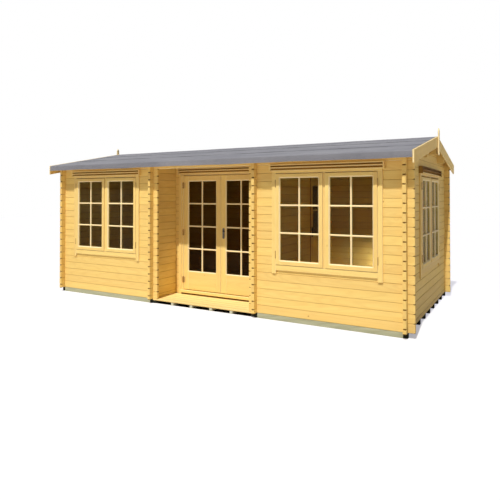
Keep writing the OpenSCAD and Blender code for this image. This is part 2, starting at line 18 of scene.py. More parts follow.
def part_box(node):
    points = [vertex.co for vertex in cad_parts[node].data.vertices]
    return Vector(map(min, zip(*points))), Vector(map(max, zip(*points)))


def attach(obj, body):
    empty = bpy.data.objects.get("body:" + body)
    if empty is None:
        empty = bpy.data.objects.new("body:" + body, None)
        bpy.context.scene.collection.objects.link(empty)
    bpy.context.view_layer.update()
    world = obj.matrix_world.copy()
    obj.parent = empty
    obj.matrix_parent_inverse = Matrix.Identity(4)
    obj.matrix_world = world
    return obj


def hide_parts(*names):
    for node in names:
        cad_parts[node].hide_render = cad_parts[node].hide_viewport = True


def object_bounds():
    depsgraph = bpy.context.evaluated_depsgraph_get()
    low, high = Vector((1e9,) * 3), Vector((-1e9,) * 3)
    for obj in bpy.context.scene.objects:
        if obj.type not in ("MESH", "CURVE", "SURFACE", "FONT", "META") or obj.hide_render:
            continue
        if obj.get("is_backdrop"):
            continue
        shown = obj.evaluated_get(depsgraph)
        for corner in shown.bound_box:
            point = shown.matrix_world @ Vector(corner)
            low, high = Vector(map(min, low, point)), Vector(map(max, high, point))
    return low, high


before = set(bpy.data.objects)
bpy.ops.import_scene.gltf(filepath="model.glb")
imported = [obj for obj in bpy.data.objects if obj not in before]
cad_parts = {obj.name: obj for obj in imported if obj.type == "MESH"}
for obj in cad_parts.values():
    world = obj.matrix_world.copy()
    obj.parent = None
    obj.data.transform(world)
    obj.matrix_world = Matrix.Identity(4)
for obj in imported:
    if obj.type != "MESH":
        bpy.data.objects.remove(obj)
cad_box = [list(corner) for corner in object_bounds()]
scene = bpy.context.scene
print("solids span", [round(b - a, 3) for a, b in zip(*cad_box)], "m")

# %% [markdown]
# ## Camera and light
#
# The cabin is seen from a little to the right of the porch, at eye height. A shift of
# the lens moves the picture down without tilting the camera, so upright edges stay
# upright. A clear midday sun stands almost straight in front of the cabin. It could be
# a large area lamp, but only a sun lamp gives the straight shadow of the eaves on the
# wall. A weak, wide lamp in front softens the porch, and a small one in the right room
# stands for the daylight from its side window.

# %% Camera, sun and lamps
EYE = (4.1268, -7.1936, 1.6334)
YAW, RISE = math.radians(29.806), math.radians(0.81)
LENS, SENSOR = 35.294, 36.0
SHIFT = (0.0008, -0.1221)
SUN_TURN, SUN_HEIGHT = math.radians(5.5), math.radians(58.4)
SUN_POWER, SUN_WIDTH = 3.5, math.radians(1.0)
SUN_PLACE, SUN_COLOUR = (0, -6, 8), (1.0, 0.975, 0.93)
LAMPS = {
    "front_fill": {
        "place": (0.3, -9.5, 1.4), "target": (0.3, 0, 1.2), "size": (10.0, 2.6),
        "power": 100.0, "colour": (1.0, 0.86, 0.70), "spread": math.radians(180),
    },
    "room_light": {
        "place": (2.30, 0.90, 0.62), "target": (1.85, 1.37, 0.34), "size": (0.2, 0.2),
        "power": 3.8, "colour": (1.0, 0.96, 0.88), "spread": math.radians(90),
    },
}

scene.view_settings.view_transform = "Standard"


def heading(turn, rise):
    """A direction turned to the left of +Y and raised over the horizon."""
    level = math.cos(rise)
    return -math.sin(turn) * level, math.cos(turn) * level, math.sin(rise)


def aimed(data, name, place, direction):
    """An object that looks along a direction."""
    made = bpy.data.objects.new(name, data)
    made.location = place
    made.rotation_euler = Vector(direction).to_track_quat("-Z", "Y").to_euler()
    scene.collection.objects.link(made)
    return made


camera_data = bpy.data.cameras.new("camera")
camera_data.lens, camera_data.sensor_width = LENS, SENSOR
camera_data.shift_x, camera_data.shift_y = SHIFT
scene.camera = aimed(camera_data, "camera", EYE, heading(YAW, RISE))
sun_data = bpy.data.lights.new("sun", "SUN")
sun_data.energy, sun_data.angle, sun_data.color = SUN_POWER, SUN_WIDTH, SUN_COLOUR
aimed(sun_data, "sun", SUN_PLACE, heading(SUN_TURN, -SUN_HEIGHT))


def soft_lamp(name, place, target, size, power, colour, spread):
    """A rectangular lamp that isn't seen itself."""
    data = bpy.data.lights.new(name, "AREA")
    data.shape, data.size, data.size_y = "RECTANGLE", *size
    data.energy, data.color, data.spread = power, colour, spread
    lamp = aimed(data, name, place, Vector(target) - Vector(place))
    lamp.visible_camera = lamp.visible_glossy = lamp.visible_transmission = False


for name, facts in LAMPS.items():
    soft_lamp(name, **facts)
print("camera lens", LENS, "mm, sun", round(math.degrees(SUN_HEIGHT), 1), "degrees high")

# %% [markdown]
# ## Writing shader maths as plain sums
#
# A finish is a web of nodes, and a web is hard to read in a script. One small class
# wraps a socket, so that `1 - mask * 0.5` adds the Math nodes by itself. Its `node`
# method makes every other node: first the settings, then the sockets.

# %% The Wire class
class Wire:
    """A socket that can take part in Python sums."""

    def __init__(self, tree, socket):
        self.tree, self.socket = tree, socket

    @staticmethod
    def node(tree, kind, settings=None, sockets=None, out=0):
        """Adds a node with its settings and the values or links of its sockets."""
        made = tree.nodes.new(kind)
        for name, value in (settings or {}).items():
            setattr(made, name, value)
        for key, value in (sockets or {}).items():
            if isinstance(value, Wire):
                tree.links.new(value.socket, made.inputs[key])
            else:
                made.inputs[key].default_value = value
        return Wire(tree, made.outputs[out]) if out is not None else made

    def sum(self, operation, *values):
        return Wire.node(
            self.tree, "ShaderNodeMath", {"operation": operation}, dict(enumerate(values))
        )

    def __add__(self, other):
        return self.sum("ADD", self, other)

    def __sub__(self, other):
        return self.sum("SUBTRACT", self, other)

    def __rsub__(self, other):
        return self.sum("SUBTRACT", other, self)

    def __mul__(self, other):
        return self.sum("MULTIPLY", self, other)

    def __truediv__(self, other):
        return self.sum("DIVIDE", self, other)

    def __rtruediv__(self, other):
        return self.sum("DIVIDE", other, self)

    def __pow__(self, other):
        return self.sum("POWER", self, other)

    def __rpow__(self, other):
        return self.sum("POWER", other, self)

    def __lt__(self, other):
        return self.sum("LESS_THAN", self, other)

    def __gt__(self, other):
        return self.sum("GREATER_THAN", self, other)

    __radd__, __rmul__ = __add__, __mul__


print("sums on sockets ready")

# %% [markdown]
# ## Helpers for finishes
#
# A few nodes come back in every finish: mixed colours, stretched patterns, noise, and
# smooth steps between two values. Each could be typed out where it is needed, but short
# functions keep the finishes below readable.

# %% Helpers for finishes
def mixed(factor, first, second):
    """Two colours mixed by a factor."""
    return Wire.node(
        factor.tree, "ShaderNodeMix", {"data_type": "RGBA"}, {0: factor, 6: first, 7: second}, out=2
    )


def stretched(vector, factors):
    return Wire.node(
        vector.tree, "ShaderNodeVectorMath", {"operation": "MULTIPLY"}, {0: vector, 1: factors}
    )


def noise(vector, scale, detail):
    return Wire.node(
        vector.tree, "ShaderNodeTexNoise", {}, {"Vector": vector, "Scale": scale, "Detail": detail}
    )


def step(value, low, high):
    """0 below low, 1 above high, and smooth between them."""
    return Wire.node(
        value.tree, "ShaderNodeMapRange", {"interpolation_type": "SMOOTHSTEP"},
        {"Value": value, "From Min": low, "From Max": high},
    )


def new_finish(name):
    """An empty material and its tree."""
    finish = bpy.data.materials.new(name)
    finish.use_nodes = True
    finish.node_tree.nodes.clear()
    return finish, finish.node_tree


def surface(tree, shader):
    Wire.node(tree, "ShaderNodeOutputMaterial", {}, {"Surface": shader}, out=None)


def principled(tree, **sockets):
    names = {key.replace("_", " "): value for key, value in sockets.items()}
    return Wire.node(tree, "ShaderNodeBsdfPrincipled", {}, names)


print("shader helpers ready")

# %% [markdown]
# ## Sky
#
# The sky gives soft light from everywhere, and looks white to the camera and in glass
# and metal. One Background node can't be both, so a Mix Shader chooses between two of
# them by the kind of ray.

# %% World
SKY, SKY_POWER = (1.0, 0.97, 0.93, 1.0), 0.10
WHITE = (1.0, 1.0, 1.0, 1.0)


def seen_ray(tree):
    """1 for rays that show the background: from the camera, in gloss and through glass."""
    path = Wire.node(tree, "ShaderNodeLightPath", out=None)
    camera, gloss, through = (
        Wire(tree, path.outputs[f"Is {kind} Ray"]) for kind in ("Camera", "Glossy", "Transmission")
    )
    return camera.sum("MAXIMUM", camera.sum("MAXIMUM", camera, gloss), through)


def blended(factor, first, second):
    """Two shaders mixed by a factor."""
    return Wire.node(factor.tree, "ShaderNodeMixShader", {}, {0: factor, 1: first, 2: second})


world = bpy.data.worlds.new("sky")
scene.world = world
world.use_nodes = True
tree = world.node_tree
tree.nodes.clear()
soft, plain = (
    Wire.node(tree, "ShaderNodeBackground", {}, {"Color": colour, "Strength": power})
    for colour, power in ((SKY, SKY_POWER), (WHITE, 1.0))
)
sky = blended(seen_ray(tree), soft, plain)
Wire.node(tree, "ShaderNodeOutputWorld", {}, {"Surface": sky}, out=None)
print("sky power", SKY_POWER)

# %% [markdown]
# ## Floor
#
# The floor is a pale sheet that throws light up at the walls. Beside the gables a strip of
# it is dark, because those walls lose light toward their foot. What the camera sees of the
# floor is mixed with a white glow that grows toward the back, and under the porch it is
# painted black as shade. Two sheets would hide each other, so the kind of ray chooses here too.

# %% Floor
FLOOR_SIDE, FLOOR_DROP = 60.0, 0.001
FLOOR_PALE, FLOOR_DIM, DIM_WIDE = (0.70, 0.685, 0.66, 1.0), (0.06, 0.055, 0.05, 1.0), 0.5
FLOOR_GLOW, GLOW_NEAR, GLOW_FAR = (0.985, 0.985, 1.08, 1.0), 0.36, 0.66
UNDER_DECK_SHADE, UNDER_DECK_INSET = (0.02, 0.02, 0.02, 1.0), 0.02
deck_low, deck_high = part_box("porch_deck")
gable_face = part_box("right_gable_wall")[1].x


def diffuse(tree, colour):
    return Wire.node(tree, "ShaderNodeBsdfDiffuse", {}, {"Color": colour})


def object_place(tree):
    return Wire.node(tree, "ShaderNodeTexCoord", out="Object")


floor_finish, tree = new_finish("pale_floor")
spot = Wire.node(tree, "ShaderNodeSeparateXYZ", {}, {0: object_place(tree)}, out=None)
spot_x, spot_y = (Wire(tree, spot.outputs[n]) for n in "XY")
aside = spot_x.sum("ABSOLUTE", spot_x)
under_deck = (aside < deck_high.x) * (spot_y > deck_low.y + UNDER_DECK_INSET) * (spot_y < deck_high.y)
dim = (aside > gable_face) * (1 - step(aside, gable_face, gable_face + DIM_WIDE))
behind = step(spot_y, deck_low.y, -deck_low.y)
glow_share = (1 - under_deck) * (GLOW_NEAR + behind * (GLOW_FAR - GLOW_NEAR))
pale = diffuse(tree, mixed(dim, FLOOR_PALE, FLOOR_DIM))
# Under the deck the floor seen by the camera is painted black as shade.
bright = diffuse(tree, mixed(under_deck, WHITE, UNDER_DECK_SHADE))
glow = Wire.node(tree, "ShaderNodeEmission", {}, {"Color": FLOOR_GLOW, "Strength": 1.0})
shown = blended(glow_share, bright, glow)
surface(tree, blended(seen_ray(tree), pale, shown))

half = FLOOR_SIDE / 2
floor_mesh = bpy.data.meshes.new("floor")
floor_mesh.from_pydata(
    [(x * half, y * half, -FLOOR_DROP) for x, y in ((-1, -1), (1, -1), (1, 1), (-1, 1))],
    [], [(0, 1, 2, 3)],
)
floor_mesh.materials.append(floor_finish)
floor = bpy.data.objects.new("floor", floor_mesh)
scene.collection.objects.link(floor)
floor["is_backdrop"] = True
print("floor", FLOOR_SIDE, "m square")

# %% [markdown]
# ## Timber finishes
#
# All the wood is planed spruce under a golden stain. Its figure comes from growth
# rings: a board is cut out of rings around a pith line, so the same rings draw long
# flames on a face and arcs on an end. A picture of wood would repeat, so the finish is
# drawn from attributes that every board carries: `grain`, its place in the tree, and
# `tone`, a chance number, give rings, streaks, fibres and knots. `edge` darkens the
# seams between boards with stain and with painted shade of the joints, and `end` and
# `facing` mark sawn ends and planed edges, which some woods paint with light or shade.

# %% The timber finish
PITH_LINE, SWAYS = (0.02, 1.0, 1.0), (1.3, 7.0, 7.0)
STREAKS, FIBRES = (0.9, 24.0, 24.0), (14.0, 420.0, 420.0)
RING_SWAY, RING_BEND, RING_POWER = 0.022, 0.010, 2.2
KNOT_LONG, KNOT_SCALE = (0.8, 1.0, 1.0), 4.6
KNOT_EDGE, KNOT_HALO = (0.030, 0.055), (0.02, 0.22)
KNOT_SHADE, SEAM_SHADE = (0.55, 0.42, 0.32), (0.45, 0.36, 0.28)
STREAK_EDGE, SEAM_EDGE, END_EDGE = (0.30, 0.72), (0.985, 1.03), (0.8, 0.9)
BEVEL_FROM, BEVEL_TO, BEVEL_END = (0.56, 0.64), (0.78, 0.86), (0.5, 0.6)
GRAIN_STRENGTH, GRAIN_HEIGHT = 0.18, 0.0012


def attribute(tree, name, out="Fac"):
    return Wire.node(tree, "ShaderNodeAttribute", {"attribute_name": name}, out=out)


def bumped(height, strength, distance):
    sockets = {"Strength": strength, "Distance": distance, "Height": height}
    return Wire.node(height.tree, "ShaderNodeBump", {}, sockets)


def shaded(colour, shade):
    return (*(c * s for c, s in zip(colour, shade)), 1)


def timber(
    name, pale, warm, late, rough, ring=0.006, ring_share=0.16, knots=0.6, spread=0.07,
    seam=0.55, painted_end_light=None, end_share=0.12, edge_highlight_colour=None, edge_highlight_share=0.0,
):
    """Planed wood: rings around the pith, streaks, fibres and knots along each board, with painted light
    or shade on ends and edges where a colour for it is given.
    """
    finish, tree = new_finish(name)
    grain = attribute(tree, "grain", "Vector")
    tone, end, edge, facing = (attribute(tree, n) for n in ("tone", "end", "edge", "facing"))
    across = stretched(grain, PITH_LINE)
    radius = Wire.node(tree, "ShaderNodeVectorMath", {"operation": "LENGTH"}, {0: across}, out="Value")
    sway = noise(stretched(grain, SWAYS), 1.0, 2.0)
    dots = Wire.node(
        tree, "ShaderNodeTexVoronoi", {},
        {"Vector": stretched(grain, KNOT_LONG), "Scale": KNOT_SCALE}, out="Distance",
    )
    knot = (1 - step(dots, *KNOT_EDGE)) * knots
    halo = 1 - step(dots, *KNOT_HALO)
    bent = (radius + sway * RING_SWAY + halo * RING_BEND) * (2 * math.pi / ring)
    rings = (bent.sum("SINE", bent) * 0.5 + 0.5) ** RING_POWER
    streak = step(noise(stretched(grain, STREAKS), 1.0, 4.0), *STREAK_EDGE)
    fibre = noise(stretched(grain, FIBRES), 1.0, 2.0)
    # Seams: dark stain in the joints, and painted shade of the V-grooves between boards.
    seam_stain_and_shade = step(edge.sum("ABSOLUTE", edge), *SEAM_EDGE) * seam
    # Planed edges and chamfers: a pale painted highlight where a colour and share for it are given.
    leaning = step(facing, *BEVEL_FROM) * (1 - step(facing, *BEVEL_TO))
    bevel = leaning * (1 - step(end, *BEVEL_END))
    colour = mixed(streak, pale, warm)
    colour = mixed(rings * ring_share, colour, late)
    colour = mixed(knot, colour, shaded(late, KNOT_SHADE))
    # Ends: darker end grain, or painted light or shade where a colour for it is given.
    colour = mixed(step(end, *END_EDGE) * end_share, colour, painted_end_light or late)
    colour = mixed(seam_stain_and_shade, colour, shaded(late, SEAM_SHADE))
    colour = mixed(bevel * edge_highlight_share, colour, edge_highlight_colour or pale)
    value = (1 - spread / 2) + tone * spread + (fibre - 0.5) * 0.06
    colour = Wire.node(
        tree, "ShaderNodeHueSaturation", {},
        {"Hue": 0.497 + tone * 0.006, "Value": value, "Color": colour},
    )
    height = fibre * 0.7 + rings * 0.35 - knot * 0.2
    surface(tree, principled(
        tree, Base_Color=colour, Roughness=rough - rings * 0.06 + fibre * 0.14,
        Normal=bumped(height, GRAIN_STRENGTH, GRAIN_HEIGHT), Specular_IOR_Level=0.05,
    ))
    return finish


print("timber finish ready")

# %% [markdown]
# ## Kinds of timber
#
# The parts of the cabin differ a little in colour and figure: logs, planed joinery, pale
# glazing bars, boards and beams, and green-grey timber in the base. Two dark woods are
# painted shade, put in recesses and notches where little light gets in. One function with
# other values makes them all, so they stay alike, as wood from one mill does.

# %% Kinds of timber
log_wood = timber(
    "log_wood", (0.88, 0.64, 0.225, 1), (0.85, 0.595, 0.195, 1), (0.68, 0.41, 0.12, 1), 0.50,
    seam=0.30,
)
# Dark wood as painted shade: hood slot linings, the gable hood, the threshold riser and the inner door
# frame.
painted_shade_wood = timber(
    "painted_shade_wood", (0.40, 0.22, 0.055, 1), (0.34, 0.18, 0.04, 1), (0.22, 0.10, 0.02, 1), 0.60
)
# Very dark wood as painted shade in the corner notches.
notch_shade_wood = timber(
    "notch_shade_wood", (0.24, 0.130, 0.030, 1), (0.21, 0.110, 0.024, 1), (0.14, 0.065, 0.012, 1), 0.70
)
# Joinery gets pale painted highlights on its eased edges and sash chamfers.
joinery_wood = timber(
    "joinery_wood", (0.89, 0.66, 0.245, 1), (0.86, 0.61, 0.215, 1), (0.69, 0.44, 0.14, 1),
    0.46, ring=0.005, ring_share=0.12, knots=0.25, spread=0.05, seam=0.0,
    edge_highlight_colour=(0.95, 0.80, 0.50, 1), edge_highlight_share=0.8,
)
bead_wood = timber(
    "bead_wood", (0.96, 0.80, 0.48, 1), (0.94, 0.76, 0.43, 1), (0.80, 0.58, 0.26, 1),
    0.46, ring=0.005, ring_share=0.10, knots=0.0, spread=0.05, seam=0.0,
)
# Barge boards get pale painted highlights of the sun on their ends and edges.
barge_wood = timber(
    "barge_wood", (0.86, 0.62, 0.23, 1), (0.82, 0.57, 0.20, 1), (0.66, 0.41, 0.13, 1),
    0.48, ring_share=0.14, knots=0.3, spread=0.05, seam=0.0,
    painted_end_light=(0.96, 0.82, 0.50, 1), end_share=0.8,
    edge_highlight_colour=(0.96, 0.82, 0.52, 1), edge_highlight_share=0.9,
)
board_wood = timber(
    "board_wood", (0.86, 0.62, 0.225, 1), (0.80, 0.54, 0.18, 1), (0.62, 0.38, 0.12, 1), 0.55,
    spread=0.10, seam=0.35,
)
beam_wood = timber(
    "beam_wood", (0.86, 0.62, 0.225, 1), (0.82, 0.57, 0.195, 1), (0.64, 0.40, 0.13, 1), 0.55,
    spread=0.06, seam=0.0,
)
# The ends of treated timber are painted black as shade.
treated_wood = timber(
    "treated_wood", (0.47, 0.48, 0.34, 1), (0.39, 0.40, 0.27, 1), (0.25, 0.25, 0.15, 1),
    0.75, ring=0.007, ring_share=0.3, spread=0.14, seam=0.2,
    painted_end_light=(0.010, 0.012, 0.009, 1), end_share=0.96,
)
sawn_wood = timber(
    "sawn_wood", (0.66, 0.66, 0.52, 1), (0.58, 0.57, 0.43, 1), (0.38, 0.36, 0.24, 1),
    0.75, ring=0.007, ring_share=0.3, spread=0.12, seam=0.2,
)
deck_wood = timber(
    "deck_wood", (0.93, 0.72, 0.32, 1), (0.90, 0.67, 0.28, 1), (0.74, 0.50, 0.18, 1), 0.55,
    spread=0.05, seam=0.15,
)
timbers = (
    log_wood, painted_shade_wood, notch_shade_wood, joinery_wood, bead_wood, barge_wood, board_wood, beam_wood,
    treated_wood, sawn_wood, deck_wood,
)
print("timber finishes:", [m.name for m in timbers])

# %% [markdown]
# ## Felt, glass and metal
#
# Roofing felt is covered with crushed slate, so its grey breaks up into grains and
# slow cloudy patches. Where it is cut, the tar inside shows as a black edge. The panes
# are clear, but the rooms behind them are dark: a tint in a Transparent shader is painted
# shade that darkens what is seen through both faces of a pane, and a faint film of dust
# keeps it from looking like a hole. A Glass shader would bend the light and slow the render
# for no gain in panes this thin. Door panes have the deeper, warmer tint of painted shade.
# Handles and hinges are dark and slightly worn.

# %% Felt, glass and metal finishes
felt_finish, tree = new_finish("slate_felt")
place = object_place(tree)
grit = noise(place, 900.0, 1.0)
patch = noise(stretched(place, (0.7, 2.2, 2.2)), 1.6, 4.0)
wash = noise(stretched(place, (9.0, 0.8, 0.8)), 1.0, 3.0)
grey = mixed(step(patch, 0.32, 0.70), (0.181, 0.185, 0.218, 1), (0.250, 0.253, 0.288, 1))
grey = mixed(step(wash, 0.48, 0.78) * 0.35, grey, (0.152, 0.156, 0.187, 1))
grey = mixed(step(grit, 0.50, 0.66) * 0.40, grey, (0.370, 0.376, 0.410, 1))
grey = mixed((1 - step(grit, 0.34, 0.47)) * 0.45, grey, (0.087, 0.087, 0.099, 1))
grey = mixed(attribute(tree, "cut"), grey, (0.022, 0.022, 0.026, 1))
surface(tree, principled(
    tree, Base_Color=grey, Roughness=0.86 + grit * 0.12, Normal=bumped(grit, 0.5, 0.002)
))


def glazing(name, room_shade_tint, film_share):
    """Thin glass: clear, with a tint of painted shade, a weak mirror and a film of dust in clouds."""
    finish, tree = new_finish(name)
    clear = Wire.node(tree, "ShaderNodeBsdfTransparent", {}, {"Color": room_shade_tint})
    shine = Wire.node(tree, "ShaderNodeBsdfGlossy", {}, {"Color": WHITE, "Roughness": 0.03})
    dust = diffuse(tree, (0.46, 0.41, 0.28, 1))
    mirror = Wire.node(tree, "ShaderNodeFresnel", {}, {"IOR": 1.09})
    cloud = noise(stretched(object_place(tree), (3.0, 3.0, 1.2)), 2.0, 4.0)
    film = (step(cloud, 0.35, 0.85) * 0.7 + 0.3) * film_share
    surface(tree, blended(mirror * 0.15, blended(film, clear, dust), shine))
    return finish


# The tints are painted shade of the dark rooms behind the panes.
window_glass = glazing("window_glass", (0.85, 0.86, 0.78, 1), 0.036)
door_glass = glazing("door_glass", (0.62, 0.55, 0.39, 1), 0.018)


def metal(name, colour, worn, rough):
    """Metal with fine cast grain and brighter wear in patches."""
    finish, tree = new_finish(name)
    place = object_place(tree)
    speck = noise(place, 320.0, 2.0)
    wear = step(noise(place, 26.0, 4.0), 0.48, 0.74)
    surface(tree, principled(
        tree, Base_Color=mixed(wear, colour, worn), Metallic=0.75 + wear * 0.2,
        Roughness=rough + speck * 0.16 - wear * 0.08, Normal=bumped(speck, 0.12, 0.0006),
    ))
    return finish


black_iron = metal("black_iron", (0.030, 0.030, 0.034, 1), (0.085, 0.082, 0.080, 1), 0.38)
dark_nickel = metal("dark_nickel", (0.10, 0.085, 0.070, 1), (0.22, 0.190, 0.165, 1), 0.32)
bronze = metal("bronze", (0.40, 0.235, 0.070, 1), (0.54, 0.34, 0.125, 1), 0.44)
gilt = metal("gilt", (0.74, 0.52, 0.20, 1), (0.84, 0.62, 0.28, 1), 0.46)
dull_zinc = metal("dull_zinc", (0.15, 0.15, 0.165, 1), (0.21, 0.21, 0.225, 1), 0.55)
zinc = metal("zinc", (0.36, 0.37, 0.38, 1), (0.52, 0.52, 0.53, 1), 0.34)
others = (
    felt_finish, window_glass, door_glass, black_iron, dark_nickel, bronze, gilt, dull_zinc, zinc,
)
print("other finishes:", [m.name for m in others])

# %% [markdown]
# ## Giving every board its own figure
#
# A wall is one mesh of many loose logs. Each island of joined faces is one board, and
# its longest side is the way the tree grew. The helper below finds the islands, turns
# each into its own frame (along, wide, thick), shifts it to a chance place beside the
# pith, and writes that as the `grain` attribute. A UV map could hold the same, but it has
# no depth, and the rings have to agree on a face and on the end beside it. `edge` runs
# from -1 to 1 over a board's width, `end` says how far a face looks along the board, and
# `facing` how far it looks through its thickness.

# %% Islands and attributes
PITH_OUT, PITH_ASIDE, LONG_SHIFT = (0.025, 0.075), 0.035, 30.0
SKIN = 0.0002


def read(items, key, width=1, kind=float):
    """One value of every item of a mesh, as an array with a row for each item."""
    flat = np.empty(len(items) * width, kind)
    items.foreach_get(key, flat)
    return flat.reshape(-1, width) if width > 1 else flat


def points_of(mesh):
    return read(mesh.vertices, "co", 3)


def island_labels(mesh):
    """For every vertex, the lowest vertex number of the island that holds it."""
    first, second = read(mesh.edges, "vertices", 2, np.int64).T
    label = np.arange(len(mesh.vertices))
    while True:
        low = np.minimum(label[first], label[second])
        before = label.copy()
        np.minimum.at(label, first, low)
        np.minimum.at(label, second, low)
        label = label[label]
        if np.array_equal(before, label):
            return label


def board_axes(points, sloped):
    """Rows: along the board, across its width, and through its thickness."""
    if sloped:
        return np.linalg.svd(points - points.mean(0), full_matrices=False)[2]
    order = np.argsort(-np.ptp(points, axis=0), kind="stable")
    return np.eye(3)[order]


def season(piece, seed, sloped=False):
    """Writes the grain, tone, edge, end and facing of every board of a piece."""
    mesh = piece.data
    points, label = points_of(mesh), island_labels(mesh)
    grain, along, through = (np.zeros_like(points) for _ in range(3))
    tone, edge = np.zeros(len(points)), np.zeros(len(points))
    chance = np.random.default_rng(seed)
    islands = np.unique(label)
    for island in islands:
        mine = label == island
        own = points[mine]
        axes = board_axes(own, sloped)
        middle = (own.min(0) + own.max(0)) / 2
        aside = chance.uniform(-PITH_ASIDE, PITH_ASIDE)
        out = chance.choice((-1, 1)) * chance.uniform(*PITH_OUT)
        shift = (chance.uniform(-LONG_SHIFT, LONG_SHIFT), aside, out)
        local = (own - middle) @ axes.T
        grain[mine] = local + shift
        tone[mine] = chance.random()
        along[mine], through[mine] = axes[0], axes[2]
        depth = np.abs(local[:, 2])
        face = local[depth > depth.max() - SKIN, 1]
        half = max(np.ptp(face) / 2, SKIN)
        edge[mine] = (local[:, 1] - face.min() - half) / half
    mesh.attributes.new("grain", "FLOAT_VECTOR", "POINT").data.foreach_set("vector", grain.ravel())
    for name, values in (("tone", tone), ("edge", edge)):
        mesh.attributes.new(name, "FLOAT", "POINT").data.foreach_set("value", values)
    normals = read(mesh.polygons, "normal", 3)
    starts = read(mesh.polygons, "loop_start", kind=np.int32)
    first = read(mesh.loops, "vertex_index", kind=np.int32)[starts]
    for name, axis in (("end", along), ("facing", through)):
        lean = np.abs((normals * axis[first]).sum(1))
        mesh.attributes.new(name, "FLOAT", "FACE").data.foreach_set("value", lean)
    return len(islands)


print("boards are seasoned by islands")

# %% [markdown]
# ## Easing the edges
#
# No planed board has a razor edge: a stroke of the plane takes it off, and that small
# flat catches the light. A node of the frame must not be changed, so a copy of its mesh
# is welded, its flat triangles are dissolved into whole faces, and its sharp edges get
# a small bevel in bmesh. The copy then stands for the node.

# %% Copying and easing solids
FLAT, SHARP = math.radians(0.5), math.radians(55)
WELD = 1e-5
BOARD_EASE, BEAM_EASE = 0.002, 0.003


def ease(bm, width):
    """Planes the sharp outer edges off a mesh."""
    edges = [
        e for e in bm.edges
        if len(e.link_faces) == 2 and e.is_convex and e.calc_face_angle(0) > SHARP
    ]
    bmesh.ops.bevel(
        bm, geom=edges, offset=width, offset_type="OFFSET", segments=1, profile=0.5,
        affect="EDGES", clamp_overlap=True,
    )


def welded(node):
    """A welded copy of a node's mesh with whole faces."""
    bm = bmesh.new()
    bm.from_mesh(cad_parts[node].data)
    bmesh.ops.remove_doubles(bm, verts=bm.verts, dist=WELD)
    bmesh.ops.dissolve_limit(bm, angle_limit=FLAT, verts=bm.verts, edges=bm.edges)
    return bm


def into_object(bm, name, finish):
    """A finished object at the origin from a bmesh."""
    mesh = bpy.data.meshes.new(name)
    bm.to_mesh(mesh)
    bm.free()
    mesh.materials.append(finish)
    made = bpy.data.objects.new(name, mesh)
    scene.collection.objects.link(made)
    return made


def settle(piece, body, slot, *nodes):
    """Puts a piece on its body and hides the nodes that it stands for. The slot is not used."""
    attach(piece, body)
    if nodes:
        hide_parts(*nodes)
    return piece


def fitted(piece, seed, body, slot, *nodes, sloped=False):
    """Gives every board of a piece its figure, and settles the piece."""
    count = season(piece, seed, sloped)
    print(piece.name, count, "boards")
    return settle(piece, body, slot, *nodes)


def dressed(node, name, finish, slot, seed, edge=BOARD_EASE, sloped=False):
    """A node's own shape with eased edges and a figure on every board."""
    bm = welded(node)
    ease(bm, edge)
    fitted(into_object(bm, name, finish), seed, "root", slot, node, sloped=sloped)


print("easing ready, for edges sharper than", round(math.degrees(SHARP)), "degrees")

# %% [markdown]
# ## Taking a wall apart
#
# A wall comes in as one mesh, but each log is shaped by itself. Separate by Loose Parts
# does that by hand. In a script it is as easy to walk from face to face, saw every part
# with a plane, and join the parts again.

# %% Loose parts and a saw
def loose_parts(bm):
    """Every island of a bmesh as a bmesh of its own."""
    bm.faces.ensure_lookup_table()
    waiting, parts = dict.fromkeys(bm.faces), []
    while waiting:
        reached = [waiting.popitem()[0]]
        for face in reached:
            for edge in face.edges:
                for new in edge.link_faces:
                    if new in waiting:
                        del waiting[new]
                        reached.append(new)
        part = bmesh.new()
        twin = {v: part.verts.new(v.co) for v in dict.fromkeys(v for f in reached for v in f.verts)}
        for face in reached:
            part.faces.new([twin[v] for v in face.verts])
        part.normal_update()
        parts.append(part)
    bm.free()
    return parts


def saw(bm, place, normal):
    """Cuts off what lies outside a plane and closes the cut."""
    cut = bmesh.ops.bisect_plane(
        bm, geom=bm.verts[:] + bm.edges[:] + bm.faces[:], plane_co=place, plane_no=normal,
        dist=WELD, clear_outer=True,
    )["geom_cut"]
    edges = [e for e in cut if isinstance(e, bmesh.types.BMEdge)]
    if edges:
        bmesh.ops.edgeloop_fill(bm, edges=edges)


def as_one(name, parts, finish):
    """Joins bmeshes into one finished object."""
    whole = bmesh.new()
    for part in parts:
        mesh = bpy.data.meshes.new("part")
        part.to_mesh(mesh)
        part.free()
        whole.from_mesh(mesh)
        bpy.data.meshes.remove(mesh)
    return into_object(whole, name, finish)


print("saw ready")

# %% [markdown]
# ## Log walls
#
# The walls are stacks of logs with a tongue, a groove and bevelled edges. At every
# corner the logs of the two walls notch over each other in turn, and their ends stand
# out. The upper and lower edge of each end is sawn off at a slant, which leaves a row of
# notches down the corner. A Boolean could cut them, but a plane cut (bisect) is quicker
# and closes itself: it goes log by log and needs no count of corners. Each cut also
# notes the wedge that it took away, because that wedge is filled later with dark wood
# as painted shade.

# %% The nine log walls
LOG_BEVEL, LOG_EASE = 0.005, 0.0018
SLANT_LONG, SLANT_DEEP = 0.028, 0.009
WEDGE_IN, WEDGE_ASIDE = 0.003, 0.007
NOTCHES = []
LOG_WALLS = {
    "left_front_wall": "left_front_logs", "right_front_wall": "right_front_logs",
    "eave_log": "front_eave_log", "door_wall": "door_wall_logs", "back_wall": "back_logs",
    "left_gable_wall": "left_gable_logs", "right_gable_wall": "right_gable_logs",
    "porch_left_wall": "porch_left_logs", "partition_wall": "partition_logs",
}


